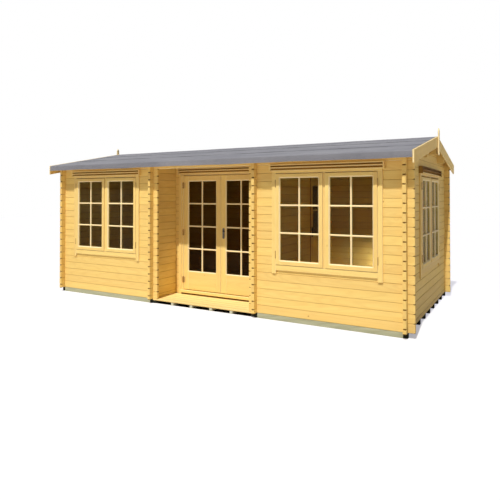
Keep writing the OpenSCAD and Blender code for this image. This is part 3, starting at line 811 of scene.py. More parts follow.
def slant_ends(bm, reach):
    """Slants a log's ends that reach the wall's own ends, above and below."""
    points = np.array([v.co for v in bm.verts])
    low, high = points.min(0), points.max(0)
    along = int(np.argmax(high[:2] - low[:2]))
    skin = points[np.abs(points[:, 1 - along] - low[1 - along]) < SKIN, 2]
    bottom, top = skin.min() - LOG_BEVEL, skin.max() + LOG_BEVEL
    for side, tip in ((-1, low[along]), (1, high[along])):
        if min(abs(tip - reach[0][along]), abs(tip - reach[1][along])) > SKIN:
            continue
        heights = points[np.abs(points[:, along] - tip) < SLANT_LONG, 2]
        for up, level in ((1, top), (-1, bottom)):
            if np.max(up * heights) < up * level - LOG_BEVEL - SKIN:
                continue  # the roof has cut this end lower
            inner, outer = tip - side * SLANT_LONG, tip - side * WEDGE_IN
            place, normal = Vector((low + high) / 2), Vector((0, 0, up))
            place[along], place.z = inner, level
            normal[along] = side * SLANT_DEEP / SLANT_LONG
            saw(bm, place, normal.normalized())
            fall = level - up * SLANT_DEEP * (1 - WEDGE_IN / SLANT_LONG)
            profile = [(inner, level), (outer, level), (outer, fall)]
            near, far = low[1 - along] + WEDGE_ASIDE, high[1 - along] - WEDGE_ASIDE
            NOTCHES.append((along, profile, near, far))


for seed, (node, name) in enumerate(LOG_WALLS.items()):
    logs = loose_parts(welded(node))
    for log in logs:
        if node != "door_wall":
            slant_ends(log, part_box(node))
        ease(log, LOG_EASE)
    # The eave log takes joinery wood, lighter and without dark seams: painted light for the light thrown
    # up under the eave.
    wall = as_one(name, logs, joinery_wood if node == "eave_log" else log_wood)
    fitted(wall, 100 + seed, "root", "logs", node)

# %% [markdown]
# ## Base timbers
#
# Bearers and joists are sawn, pressure-treated timber with a green-grey cast. The ends of
# the bearers and the two outer joists are painted black as shade. The black could be a
# piece of its own, but a cut around each bearer and the `end` mark of its outer faces are enough.

# %% Bearers and joists
BLACK_SHADE_END = 0.055
bearers = loose_parts(welded("bearers"))
for bearer in bearers:
    ends = sorted(v.co.x for v in bearer.verts)
    for x in (ends[0] + BLACK_SHADE_END, ends[-1] - BLACK_SHADE_END):
        bmesh.ops.bisect_plane(
            bearer, geom=bearer.verts[:] + bearer.edges[:] + bearer.faces[:],
            plane_co=(x, 0, 0), plane_no=(1, 0, 0), dist=WELD,
        )
    ease(bearer, BEAM_EASE)
base = as_one("floor_bearers", bearers, treated_wood)
fitted(base, 201, "root", "treated_timber", "bearers")
points, label = points_of(base.data), island_labels(base.data)
reach = {n: (points[label == n, 0].min(), points[label == n, 0].max()) for n in np.unique(label)}
# Faces near the bearer ends are marked for the black painted shade.
for face, mark in zip(base.data.polygons, base.data.attributes["end"].data):
    first, last = reach[label[face.vertices[0]]]
    if min(face.center.x - first, last - face.center.x) < BLACK_SHADE_END:
        mark.value = 1.0


def reach_aside(part):
    return max(abs(v.co.x) for v in part.verts)


joists = sorted(loose_parts(welded("porch_joists")), key=reach_aside)
for joist in joists:
    ease(joist, BEAM_EASE)
deck_joists = as_one("deck_joists", joists[:-2], sawn_wood)
fitted(deck_joists, 202, "root", "treated_timber", "porch_joists")
outer_joists = as_one("outer_joists", joists[-2:], treated_wood)
fitted(outer_joists, 207, "root", "treated_timber")
# The outer joists are painted black all over, as shade.
for mark in outer_joists.data.attributes["end"].data:
    mark.value = 1.0

# %% [markdown]
# ## Roof timbers
#
# Under the roof run three purlins, and along its edges the eave boards, the barge boards
# and two pointed finials. Their solids are right as they are, so only their edges are
# eased. The barge boards slope, so they take their grain from the slope.

# %% Purlins and roof edges
dressed("purlins", "roof_purlins", beam_wood, "roof_timber", 203, BEAM_EASE)
dressed("eave_fascias", "eave_boards", beam_wood, "roof_timber", 204)
dressed("barge_boards", "gable_barges", barge_wood, "joinery", 205, BEAM_EASE, sloped=True)
dressed("finials", "gable_finials", bead_wood, "joinery", 206, BEAM_EASE)

# %% [markdown]
# ## Plain solids, face by face
#
# Sashes have chamfers that stop at corners, which no modifier gives. They are small, so
# their faces are listed point by point. `solid` welds such a list into one closed board,
# and `gathered` joins many boards into one object. The first use is a plain one: the
# notches between the log ends lie in deep shade, and a wedge of dark wood in each is
# painted shade that keeps them dark in any light.

# %% Solids from lists of faces
SASH_EASE = 0.0015


def solid(polygons):
    """One closed board from polygons, with shared corners welded and faces outwards."""
    bm = bmesh.new()
    corners = {}
    for polygon in polygons:
        ring = []
        for point in polygon:
            key = tuple(round(x, 6) for x in point)
            if key not in corners:
                corners[key] = bm.verts.new(point)
            ring.append(corners[key])
        bm.faces.new(ring)
    bmesh.ops.recalc_face_normals(bm, faces=bm.faces)
    return bm


def block(low, high):
    """The six faces of a straight board between two corners."""
    (a, b, c), (d, e, f) = low, high
    return [
        [(a, b, c), (d, b, c), (d, b, f), (a, b, f)], [(a, e, c), (d, e, c), (d, e, f), (a, e, f)],
        [(a, b, c), (a, e, c), (a, e, f), (a, b, f)], [(d, b, c), (d, e, c), (d, e, f), (d, b, f)],
        [(a, b, c), (d, b, c), (d, e, c), (a, e, c)], [(a, b, f), (d, b, f), (d, e, f), (a, e, f)],
    ]


def prism(profile, start, stop):
    """A profile of (y, z) points carried along X."""
    near = [(start, y, z) for y, z in profile]
    far = [(stop, y, z) for y, z in profile]
    return [near, far] + [[near[i - 1], near[i], far[i], far[i - 1]] for i in range(len(profile))]


def gathered(name, boards, finish, matrix=None, edge=SASH_EASE):
    """Joins boards into one object, each eased and moved to its place."""
    parts = [solid(polygons) for polygons in boards]
    for part in parts:
        if edge:
            ease(part, edge)
    made = as_one(name, parts, finish)
    if matrix is not None:
        made.data.transform(matrix)
    return made


def solids_of(node, matrix=None):
    """Lowest and highest corners of every solid of a node, in a frame of one's own."""
    bm = welded(node)
    if matrix is not None:
        bm.transform(matrix.inverted())
    mesh = bpy.data.meshes.new("boxes")
    bm.to_mesh(mesh)
    bm.free()
    points, label = points_of(mesh), island_labels(mesh)
    bpy.data.meshes.remove(mesh)
    return [(points[label == n].min(0), points[label == n].max(0)) for n in np.unique(label)]


def joined(name, finish, pieces):
    """Several objects made one."""
    whole = bmesh.new()
    for piece in pieces:
        whole.from_mesh(piece.data)
        bpy.data.objects.remove(piece)
    return into_object(whole, name, finish)


wedges = []
for along, profile, start, stop in NOTCHES:
    faces = prism(profile, start, stop)
    wedges.append(faces if along else [[(y, x, z) for x, y, z in face] for face in faces])
# The dark wedges are painted shade in the notches.
fitted(gathered("corner_notches", wedges, notch_shade_wood, edge=0), 110, "root", "logs")

# %% [markdown]
# ## Window surrounds with hoods
#
# Each window has a lining in the wall, a post between its casements, flat trim boards
# and an apron. Over them sits a small hood: a shelf between two cheeks, with a groove
# under it and a hollow over it. These two are deep and narrow, so little light gets in,
# and they draw the two dark lines over every window. Dark linings at their backs are
# painted shade. The hood on the gable lies in shade, and all its boards but the lowest
# band are dark wood as painted shade. The hood over the porch doors has wider cheeks.

# %% Surrounds of the windows and the porch doors
FRONT_HOOD = {
    "band": 0.013, "groove": 0.024, "shelf": 0.014, "hollow": 0.022, "top": 0.014, "cheek": 0.018,
}
DOOR_HOOD = {**FRONT_HOOD, "band": 0.023, "cheek": 0.042}
HOOD_OUT, CHEEK_DROP = 0.050, 0.004
BAND_BACK, SHELF_OUT, TOP_BACK = 0.010, 0.006, 0.002
WALL_GAP, RECESS_T = 0.0004, 0.012
TRIM_EASE, RECESS_EASE = 0.0025, 0.001


def hood(half, foot, heights):
    """Boards of a hood over a foot line, its band first, and the dark linings of its two slots, as
    painted shade.
    """
    inside, back = half - heights["cheek"] - WALL_GAP, -WALL_GAP
    groove = foot + heights["band"]
    shelf = groove + heights["groove"]
    hollow = shelf + heights["shelf"]
    top = hollow + heights["hollow"]
    high = top + heights["top"]
    boards = [
        block((-inside, -HOOD_OUT + BAND_BACK, foot), (inside, back, groove)),
        block((-inside, -HOOD_OUT - SHELF_OUT, shelf), (inside, back, hollow)),
    ]
    for side in (-1, 1):
        near, far = sorted((side * half, side * (half - heights["cheek"])))
        boards.append(block((near, -HOOD_OUT, foot - CHEEK_DROP), (far, back, high)))
    boards.append(block((-inside, -HOOD_OUT + TOP_BACK, top), (inside, back, high)))
    # Dark linings at the backs of the groove and the hollow: painted shade.
    linings = [
        block((-inside, -RECESS_T, start + WALL_GAP), (inside, back, stop - WALL_GAP))
        for start, stop in ((groove, shelf), (hollow, top))
    ]
    return boards, linings


def surround(node, name, matrix, seed, heights, dark=False):
    """Trim boards of an opening as the frame has them, with a hood for the cornice."""
    boxes = sorted(solids_of(node, matrix), key=lambda box: box[1][2])
    low_board, top_board = boxes[-2:]
    boards, linings = hood(top_board[1][0], low_board[0][2], heights)
    # On the gable every board but the band goes to the dark wood, as painted shade.
    if dark:
        boards, linings = boards[:1], linings + boards[1:]
    boards += [block(low, high) for low, high in boxes[:-2]]
    piece = gathered(name, boards, joinery_wood, matrix, TRIM_EASE)
    fitted(piece, seed, "root", "joinery", node)
    lining = gathered(name + "_recess", linings, painted_shade_wood, matrix, RECESS_EASE)
    fitted(lining, seed + 50, "root", "joinery")


def middle_of(node):
    low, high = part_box(node)
    return (low + high) / 2


QUARTER_TURN = Matrix.Rotation(math.pi / 2, 4, "Z")
front_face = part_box("left_front_wall")[0].y
door_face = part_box("door_wall")[0].y
WINDOWS = {
    "left": Matrix.Translation((middle_of("left_window_frame").x, front_face, 0)),
    "right": Matrix.Translation((middle_of("right_window_frame").x, front_face, 0)),
    "gable": Matrix.Translation((gable_face, 0, 0)) @ QUARTER_TURN,
}
DOORWAY = Matrix.Translation((0, door_face, 0))
for seed, (side, matrix) in enumerate(WINDOWS.items()):
    window = f"{side}_window"
    surround(window + "_frame", window + "_surround", matrix, 300 + seed, FRONT_HOOD, side == "gable")
surround("door_trim", "door_surround", DOORWAY, 310, DOOR_HOOD)

# %% [markdown]
# ## Door frames and threshold
#
# The porch doors stand in plain jambs on a threshold. Its upper edge stands out as a
# nosing, so the riser under it lies in shade. The solid is one block, so it is replaced
# by two boards, and the riser is dark wood as painted shade. The inner door's frame
# stands in a dark room and is dark wood too, as painted shade.

# %% Jambs and threshold
NOSING_T, NOSING_OUT = 0.042, 0.034
boxes = sorted(solids_of("door_frame"), key=lambda box: box[1][2])
low, high = boxes[0]
boards = [block(*box) for box in boxes[1:]]
boards.append(block((low[0], low[1], high[2] - NOSING_T), high))
under = block((low[0], low[1] + NOSING_OUT, low[2]), (*high[:2], high[2] - NOSING_T - WALL_GAP))
# The riser is dark wood, painted shade under the nosing.
riser = gathered("threshold_riser", [under], painted_shade_wood)
fitted(riser, 313, "root", "joinery")
jambs = gathered("door_jambs", boards, joinery_wood, edge=BEAM_EASE)
fitted(jambs, 311, "root", "joinery", "door_frame")
# The inner door frame is dark wood, painted shade of the dark room.
dressed("inner_door_frame", "inner_jambs", painted_shade_wood, "joinery", 312, BEAM_EASE)

# %% [markdown]
# ## Stopped chamfers
#
# A casement or a glazed door is two stiles and two rails around the glass. Their inner
# edges are chamfered on both faces, and the chamfers meet in short mitres at the
# corners. A bevel would run through to the ends, so each stile is listed as two halves,
# from a face to its middle, that weld into one closed board.

# %% Stiles, rails and sashes
CHAMFER = 0.014


def stile(outer, inner, low, high, foot, top, front, back):
    """One stile with stopped chamfers along the glass, on both faces."""
    side = math.copysign(CHAMFER, inner - outer)
    middle = (front + back) / 2
    faces = []
    for face in (front, back):
        deep = face + math.copysign(CHAMFER, middle - face)
        a, b = (outer, face, low), (inner, face, low)
        c, d = (inner, face, foot - CHAMFER), (inner - side, face, foot - CHAMFER)
        e, f = (inner - side, face, top + CHAMFER), (inner, face, top + CHAMFER)
        g, h = (inner, face, high), (outer, face, high)
        i, j = (inner, deep, foot), (inner, deep, top)
        k, m = (outer, middle, low), (inner, middle, low)
        n, o = (inner, middle, high), (outer, middle, high)
        faces += [
            [a, b, c, d, e, f, g, h], [d, e, j, i], [c, d, i], [e, f, j],
            [b, c, i, j, f, g, n, m], [a, h, o, k], [a, b, m, k], [h, g, n, o],
        ]
    return faces


def rail(start, stop, edge, glass, front, back):
    """One rail between the stiles, chamfered along the glass on both faces."""
    side = math.copysign(CHAMFER, glass - edge)
    return prism([
        (front, edge), (front, glass - side), (front + CHAMFER, glass),
        (back - CHAMFER, glass), (back, glass - side), (back, edge),
    ], start, stop)


def sash(boxes, gap, proud=0.0, glass_out=0.0):
    """Chamfered boards for two stiles and two rails, with gaps at the sides, foot and top."""
    tall = sorted(boxes, key=lambda box: box[0][2] - box[1][2])
    left, right = sorted(tall[:2], key=lambda box: box[0][0])
    foot, top = sorted(tall[2:], key=lambda box: box[0][2])
    low, high = left[0][2] + gap[1], left[1][2] - gap[2]
    front, back = left[0][1] - proud, left[1][1]
    glass_low, glass_high = foot[1][2], top[0][2]
    inner = (left[1][0], right[0][0])
    outer = (left[0][0] + gap[0], right[1][0] - gap[0])
    parts = [stile(*xs, low, high, glass_low, glass_high, front, back) for xs in zip(outer, inner)]
    for board, edge, glass in ((foot, low, glass_low), (top, high, glass_high)):
        parts.append(rail(board[0][0], board[1][0], edge, glass, front, back))
    depth = (left[0][1] - glass_out, left[1][1] - glass_out)
    return parts, {"x": inner, "z": (glass_low, glass_high), "y": depth}


print("sashes have chamfers of", CHAMFER, "m")

# %% [markdown]
# ## Casements, door leaves and panes
#
# The casements stand a little proud of the lining, with thin gaps around them, and the
# door leaves leave room for the threshold. Every sash takes its size from the boards of
# its solid, so it can't drift from the frame. Panes keep their solids, but on the gable
# they sit further out, as the casements do, and so are made new.

# %% Casements, leaves and panes
FRONT_GAP, GABLE_GAP, DOOR_GAP = (0.001, 0.005, 0.010), (0.001, 0.005, 0.020), (0.0, 0.006, 0.008)
CASEMENT_GAP = {"left": FRONT_GAP, "right": FRONT_GAP, "gable": GABLE_GAP}
CASEMENT_PROUD = 0.012
GLASS_OUT = {"left": 0.0, "right": 0.0, "gable": CASEMENT_PROUD}
OPENINGS = {}
for seed, (side, matrix) in enumerate(WINDOWS.items()):
    node = f"{side}_window_casements"
    boxes = solids_of(node, matrix)
    boards, OPENINGS[side] = [], []
    for half in (-1, 1):
        mine = [b for b in boxes if (b[0][0] + b[1][0]) * half > 0]
        parts, opening = sash(mine, CASEMENT_GAP[side], CASEMENT_PROUD, GLASS_OUT[side])
        boards += parts
        OPENINGS[side].append(opening)
    piece = gathered(f"{side}_casements", boards, joinery_wood, matrix)
    fitted(piece, 320 + seed, "root", "joinery", node)

INNER_WAY = Matrix.Translation((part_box("inner_door")[1].x, middle_of("inner_door").y, 0))
LEAVES = {"left": DOORWAY, "right": DOORWAY, "inner": INNER_WAY @ QUARTER_TURN}
for seed, (side, matrix) in enumerate(LEAVES.items()):
    boards, opening = sash(solids_of(f"{side}_door", matrix), DOOR_GAP)
    OPENINGS[f"{side}_leaf"] = [opening]
    piece = gathered(f"{side}_door_leaf", boards, joinery_wood, matrix, BOARD_EASE)
    fitted(piece, 330 + seed, f"{side}_leaf", "joinery", f"{side}_door")
for node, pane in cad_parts.items():
    if node.endswith("_glass"):
        pane.data.materials.clear()
        pane.data.materials.append(door_glass if "door" in node else window_glass)
out = np.array((0, GLASS_OUT["gable"], 0))
panes = [block(low - out, high - out) for low, high in solids_of("gable_window_glass", WINDOWS["gable"])]
gable_panes = gathered("gable_panes", panes, window_glass, WINDOWS["gable"], edge=0)
settle(gable_panes, "root", "glass", "gable_window_glass")
print("sashes for", sorted(OPENINGS))

# %% [markdown]
# ## Trees of Geometry Nodes
#
# Bars, boards and nail heads repeat by rule. Copying them in Python would do, but a node
# tree with named sizes can be run again with other sizes. These helpers make a tree with
# its inputs, sweep a bar, set copies out on a row of points, close the tree with real
# copies and a finish, and keep its result as a plain mesh.

# %% Node tree helpers
def new_tree(name, floats=(), whole=()):
    """A geometry tree with named inputs and one output, and the wires of its inputs."""
    made = bpy.data.node_groups.new(name, "GeometryNodeTree")
    kinds = {"Geometry": "Geometry", **dict.fromkeys(floats, "Float"), **dict.fromkeys(whole, "Int")}
    for label, kind in {**kinds, "Finish": "Material"}.items():
        made.interface.new_socket(label, in_out="INPUT", socket_type="NodeSocket" + kind)
    made.interface.new_socket("Geometry", in_out="OUTPUT", socket_type="NodeSocketGeometry")
    entry = made.nodes.new("NodeGroupInput")
    return made, {s.name: Wire(made, s) for s in entry.outputs if s.name}


def vector(tree, x=0.0, y=0.0, z=0.0):
    return Wire.node(tree, "ShaderNodeCombineXYZ", {}, {0: x, 1: y, 2: z})


def swept(tree, start, stop, wide, deep, ease_by):
    """A bar with a rounded section along a straight line."""
    line = Wire.node(tree, "GeometryNodeCurvePrimitiveLine", {}, {"Start": start, "End": stop})
    line = Wire.node(tree, "GeometryNodeSetCurveNormal", {"mode": "Z_UP"}, {"Curve": line})
    section = Wire.node(
        tree, "GeometryNodeCurvePrimitiveQuadrilateral", {}, {"Width": wide, "Height": deep}
    )
    section = Wire.node(
        tree, "GeometryNodeFilletCurve", {},
        {"Curve": section, "Radius": ease_by, "Limit Radius": True},
    )
    return Wire.node(
        tree, "GeometryNodeCurveToMesh", {},
        {"Curve": line, "Profile Curve": section, "Fill Caps": True},
    )


def row_of(tree, thing, count, start, offset):
    """Copies of a thing on a straight row of points."""
    sockets = {"Count": count, "Start Location": start, "Offset": offset}
    row = Wire.node(tree, "GeometryNodeMeshLine", {}, sockets)
    return Wire.node(tree, "GeometryNodeInstanceOnPoints", {}, {"Points": row, "Instance": thing})


def close_tree(tree, wires, *geometry):
    """Joins the parts, makes copies real and gives them their finish."""
    join = Wire.node(tree, "GeometryNodeJoinGeometry", out=None)
    for part in geometry:
        tree.links.new(part.socket, join.inputs[0])
    whole = Wire(tree, join.outputs[0])
    real = Wire.node(tree, "GeometryNodeRealizeInstances", {}, {"Geometry": whole})
    sockets = {"Geometry": real, "Material": wires["Finish"]}
    done = Wire.node(tree, "GeometryNodeSetMaterial", {}, sockets)
    Wire.node(tree, "NodeGroupOutput", {}, {"Geometry": done}, out=None)


def grown(name, tree, values, matrix=None, base=None):
    """Runs a tree once and keeps its result as a plain mesh."""
    mesh = base or bpy.data.meshes.new(name + "_seed")
    made = bpy.data.objects.new(name, mesh)
    scene.collection.objects.link(made)
    work = made.modifiers.new("grow", "NODES")
    work.node_group = tree
    for item in tree.interface.items_tree:
        if item.in_out == "INPUT" and item.name in values:
            work[item.identifier] = values[item.name]
    ready = made.evaluated_get(bpy.context.evaluated_depsgraph_get())
    result = bpy.data.meshes.new_from_object(ready)
    made.modifiers.clear()
    made.data = result
    result.name = name
    result.materials.clear()
    result.materials.append(values["Finish"])
    if matrix is not None:
        result.transform(matrix)
    return made


print("tree helpers ready")

# %% [markdown]
# ## Glazing bars
#
# Thin bars cut the glass into panes: two columns by three rows in a casement, two by four
# in a porch door and two by two in the inner door. A rounded section is swept along one
# upright and one level line, and each is set out on a row of points. The level bars are a
# little shallower, so that no two faces lie in one plane where the bars cross.

# %% Glazing bars
BAR, BAR_EASE, BAR_SET, BAR_STEP = 0.0225, 0.006, 0.004, 0.0012
bars_tree, wires = new_tree(
    "glazing_bars", ("Wide", "Tall", "Bar", "Deep", "Ease"), ("Columns", "Rows")
)
wide, tall = wires["Wide"], wires["Tall"]
step_x, step_z = wide / wires["Columns"], tall / wires["Rows"]
upright = swept(
    bars_tree, (0, 0, 0), vector(bars_tree, z=tall), wires["Bar"], wires["Deep"], wires["Ease"]
)
level = swept(
    bars_tree, vector(bars_tree, x=wide * -0.5), vector(bars_tree, x=wide * 0.5),
    wires["Deep"] - BAR_STEP, wires["Bar"], wires["Ease"],
)
uprights = row_of(
    bars_tree, upright, wires["Columns"] - 1,
    vector(bars_tree, x=wide * -0.5 + step_x), vector(bars_tree, x=step_x),
)
levels = row_of(
    bars_tree, level, wires["Rows"] - 1, vector(bars_tree, z=step_z), vector(bars_tree, z=step_z)
)
close_tree(bars_tree, wires, uprights, levels)


def bars_for(name, key, matrix, rows):
    """The bars of every opening under one name, each in its own place."""
    made = []
    for number, opening in enumerate(OPENINGS[key]):
        (left, right), (low, high), (front, back) = opening["x"], opening["z"], opening["y"]
        place = Matrix.Translation(((left + right) / 2, (front + back) / 2, low - CHAMFER / 2))
        made.append(grown(f"{name}_{number}", bars_tree, {
            "Wide": right - left + CHAMFER, "Tall": high - low + CHAMFER, "Bar": BAR,
            "Deep": back - front - 2 * BAR_SET, "Ease": BAR_EASE, "Columns": 2, "Rows": rows,
            "Finish": bead_wood,
        }, matrix @ place))
    return made


window_bars = joined("window_bars", bead_wood, [
    bar for side, matrix in WINDOWS.items() for bar in bars_for(f"{side}_bars", side, matrix, 3)
])
fitted(window_bars, 340, "root", "joinery")
for seed, (side, matrix) in enumerate(LEAVES.items()):
    rows = 2 if side == "inner" else 4
    bars = bars_for(f"{side}_bars", f"{side}_leaf", matrix, rows)
    fitted(joined(f"{side}_door_bars", bead_wood, bars), 341 + seed, f"{side}_leaf", "joinery")

# %% [markdown]
# ## Boards laid in rows
#
# The porch deck and the floors are boards side by side, as the roof is. One tree lays a row:
# a board with eased edges, repeated at a fixed pitch. An Array modifier could do that too,
# but the tree takes its count and pitch as named sizes. The deck keeps open gaps so that
# rain runs through. Floor boards are tongued and almost touch.

# %% Deck and floors
DECK_BOARDS, DECK_GAP = 5, 0.004
FLOOR_BOARD, FLOOR_GAP = 0.113, 0.0006
rows_tree, wires = new_tree("board_row", ("Wide", "Long", "Thick", "Pitch", "Ease"), ("Count",))
far_end = vector(rows_tree, y=wires["Long"])
plank = swept(rows_tree, (0, 0, 0), far_end, wires["Wide"], wires["Thick"], wires["Ease"])
planks = row_of(rows_tree, plank, wires["Count"], (0, 0, 0), vector(rows_tree, x=wires["Pitch"]))
close_tree(rows_tree, wires, planks)


def board_row(name, size, count, gap, matrix, ease_by=BOARD_EASE, finish=board_wood):
    """Boards that fill a size (across, along, thick), with gaps between them."""
    across, along, thick = size
    pitch = (across + gap) / count
    shift = Matrix.Translation(((pitch - gap) / 2, 0, thick / 2))
    return grown(name, rows_tree, {
        "Wide": pitch - gap, "Long": along, "Thick": thick, "Pitch": pitch, "Ease": ease_by,
        "Count": count, "Finish": finish,
    }, matrix @ shift)


low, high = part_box("porch_deck")
turned_deck = Matrix.Translation((low.x, high.y, low.z)) @ Matrix.Rotation(-math.pi / 2, 4, "Z")
size = (high.y - low.y, high.x - low.x, high.z - low.z)
deck = board_row("deck_boards", size, DECK_BOARDS, DECK_GAP, turned_deck, BEAM_EASE, deck_wood)
fitted(deck, 401, "root", "floor_boards", "porch_deck")

rooms = []
for low, high in solids_of("room_floors"):
    size = high - low
    count = round(size[0] / FLOOR_BOARD)
    rooms.append(board_row(f"room_{len(rooms)}", size, count, FLOOR_GAP, Matrix.Translation(low)))
floors = joined("room_floor_boards", board_wood, rooms)
fitted(floors, 402, "root", "floor_boards", "room_floors")

# %% [markdown]
# ## Roof boards
#
# The same tree lays the roof. Its boards run up both slopes from the eave to the ridge and
# show from below under the overhang. One slope is placed, and half a turn gives the other,
# because mirroring would turn the boards inside out.

# %% Roof boards
ROOF_BOARDS, ROOF_GAP, RIDGE_GAP = 58, 0.0012, 0.001
PITCH, ROOF_BOARD_T, EAVE_BACK = math.radians(11), 0.019, 0.0040
HALF_TURN = Matrix.Rotation(math.pi, 4, "Z")
low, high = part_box("roof_boards")
eave_y, eave_z, roof_x = high.y, low.z, high.x
slope_long = (eave_y - EAVE_BACK) / math.cos(PITCH)
eave_corner = Matrix.Translation((-roof_x, -eave_y + EAVE_BACK, eave_z + EAVE_BACK * math.tan(PITCH)))
front_slope = eave_corner @ Matrix.Rotation(PITCH, 4, "X")
size = (2 * roof_x, slope_long - RIDGE_GAP, ROOF_BOARD_T)
roof_boards = joined("roof_board_rows", board_wood, [
    board_row(f"{side}_slope", size, ROOF_BOARDS, ROOF_GAP, matrix)
    for side, matrix in (("front", front_slope), ("back", HALF_TURN @ front_slope))
])
fitted(roof_boards, 403, "root", "roof_timber", "roof_boards", sloped=True)

# %% [markdown]
# ## Roofing felt
#
# Felt comes on a roll and is laid along the roof from the eave upwards. Each strip laps
# over the one below, the lowest turns down over the eave, and a folded strip caps the
# ridge. A strip is a thin sheet that follows a line in the end view. Cloth could be
# draped, but felt is stiff and nailed flat: it is enough to divide the sheet along the
# roof, so that its face can ripple and its lower edge can wander a little. The rim of a
# strip gets the `cut` mark, which shows the black tar.

# %% A rippled sheet
FELT_T, FELT_STEPS, RIPPLE = 0.003, 150, 0.0011
WANDER, WANDER_DEEP = 0.004, 0.06
WAVES_ALONG, WAVES_UP, EDGE_WAVES = (5.1, 12.7), (9.0, 6.0), (3.3, 9.7)


def sheet(line, seed, half_long, free_edge=True):
    """A closed thin sheet along X over a line of (y, z) points, its outer side to the left."""
    chance = np.random.default_rng(seed)
    phase = chance.uniform(0, 2 * math.pi, 6)
    line = np.array(line, float)
    way = np.gradient(line, axis=0)
    way /= np.linalg.norm(way, axis=1)[:, None]
    normal = np.stack([-way[:, 1], way[:, 0]], 1)
    reach = np.concatenate([[0], np.cumsum(np.linalg.norm(np.diff(line, axis=0), axis=1))])
    xs = np.linspace(-half_long, half_long, FELT_STEPS + 1)
    x, v = np.meshgrid(xs, reach, indexing="ij")
    slow = np.sin(x * WAVES_ALONG[0] + phase[0]) * np.sin(v * WAVES_UP[0] + phase[1])
    bend = 2.0 * np.sin(v * WAVES_UP[1] + phase[3])
    quick = 0.6 * np.sin(x * WAVES_ALONG[1] + phase[2] + bend)
    swell = (slow + quick) * RIPPLE / 1.6
    slow, quick = (np.sin(xs * wave + start) for wave, start in zip(EDGE_WAVES, phase[4:]))
    wander = WANDER * (0.6 * slow + 0.4 * quick)
    slide = np.outer(wander, np.exp(-reach / WANDER_DEEP)) if free_edge else 0 * x
    rows, cols = x.shape
    outer = np.empty((rows, cols, 3))
    outer[..., 0] = x
    for k in (0, 1):
        outer[..., k + 1] = line[:, k] + normal[:, k] * (FELT_T + RIPPLE + swell) + way[:, k] * slide
    inner = outer.copy()
    for k in (0, 1):
        inner[..., k + 1] -= normal[:, k] * FELT_T
    points = np.concatenate([outer.reshape(-1, 3), inner.reshape(-1, 3)])
    index = np.arange(rows * cols).reshape(rows, cols)
    far = index + rows * cols
    faces = []
    for i in range(rows - 1):
        for j in range(cols - 1):
            faces.append((index[i, j], index[i + 1, j], index[i + 1, j + 1], index[i, j + 1]))
            faces.append((far[i, j], far[i, j + 1], far[i + 1, j + 1], far[i + 1, j]))
    flat = len(faces)
    rim = np.concatenate([index[:, 0], index[-1, 1:], index[-2::-1, -1], index[0, -2:0:-1]])
    for p, q in zip(rim, np.roll(rim, -1)):
        faces.append((q, p, p + rows * cols, q + rows * cols))
    bm = bmesh.new()
    cut = bm.faces.layers.float.new("cut")
    verts = [bm.verts.new(p) for p in points]
    for number, face in enumerate(faces):
        bm.faces.new([verts[n] for n in face])[cut] = float(free_edge and number >= flat)
    bmesh.ops.recalc_face_normals(bm, faces=bm.faces)
    return bm


print("felt", FELT_T, "m thick")

# %% [markdown]
# ## Felt strips and ridge cap
#
# Three strips cover a slope. Where a strip laps over the one below, it is lifted by the
# thickness of the felt, so the lap shows as a thin step with a black edge. The lowest
# strip bends down at the eave. Each strip's line is worked out from the slope, and half a
# turn lays the same strips on the back, with chance ripples of their own.

# %% Felt strips and ridge cap
LAP, STRIPS, LINE_STEPS = 0.080, 3, 12
SHEET_IN, RIDGE_BACK = 0.0005, 0.004
BEND_STEPS, BEND_DROP, BEND_CORNER = 5, 0.006, (0.0015, 0.0018)
felt_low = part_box("roofing_felt")[0]


def slope_point(up, lift):
    """A point of the front slope: so far up from the eave fold, so far off the boards."""
    fold = Vector((felt_low.y + FELT_T, eave_z + ROOF_BOARD_T / math.cos(PITCH)))
    return (
        fold.x + up * math.cos(PITCH) - lift * math.sin(PITCH),
        fold.y + up * math.sin(PITCH) + lift * math.cos(PITCH),
    )


slope_all = -(felt_low.y + FELT_T) / math.cos(PITCH)
exposed = slope_all / STRIPS
strips = []
for turn in (0, math.pi):
    for strip in range(STRIPS):
        start, stop = strip * exposed, min((strip + 1) * exposed + LAP, slope_all - RIDGE_BACK)
        ups = np.linspace(start, stop, LINE_STEPS)
        over = FELT_T if strip else 0
        lift = np.interp(ups, [start, start + LAP, stop], [over, over / 2, 0])
        line = [slope_point(u, n) for u, n in zip(ups, lift)]
        if strip == 0:
            edge_y, edge_z = felt_low.y + FELT_T, line[0][1]
            bend = [(edge_y, z) for z in np.linspace(felt_low.z, edge_z - BEND_DROP, BEND_STEPS)]
            line = bend + [(edge_y + BEND_CORNER[0], edge_z - BEND_CORNER[1])] + line[1:]
        bm = sheet(line, 500 + strip + (10 if turn else 0), roof_x - SHEET_IN)
        bm.transform(Matrix.Rotation(turn, 4, "Z"))
        strips.append(bm)

CAP, CAP_LIFT, CAP_BEND, CAP_DROP = 0.14, FELT_T * 0.8, 0.012, 0.0012
downs = (CAP, CAP * 0.75, CAP * 0.5, CAP * 0.25, CAP_BEND)
cap_line = [slope_point(slope_all - down, CAP_LIFT) for down in downs]
ridge_z = slope_point(slope_all, CAP_LIFT)[1] - CAP_DROP
cap_line += [(0, ridge_z)] + [(-y, z) for y, z in reversed(cap_line)]
strips.append(sheet(cap_line, 530, roof_x - SHEET_IN, free_edge=False))
felt = settle(as_one("felt_strips", strips, felt_finish), "root", "roofing_felt", "roofing_felt")
print("felt:", len(strips), "sheets,", len(felt.data.polygons), "faces")

# %% [markdown]
# ## Turned and bent metal
#
# Round parts are turned: a profile goes around an axis, as on a lathe. A lever is a rod
# whose thickness changes along a bent path, and a plate is an outline with a smaller one
# before it. Screw and Spin could make some of these, but all of them are lists of rings
# with skin between them, so one helper closes them all.

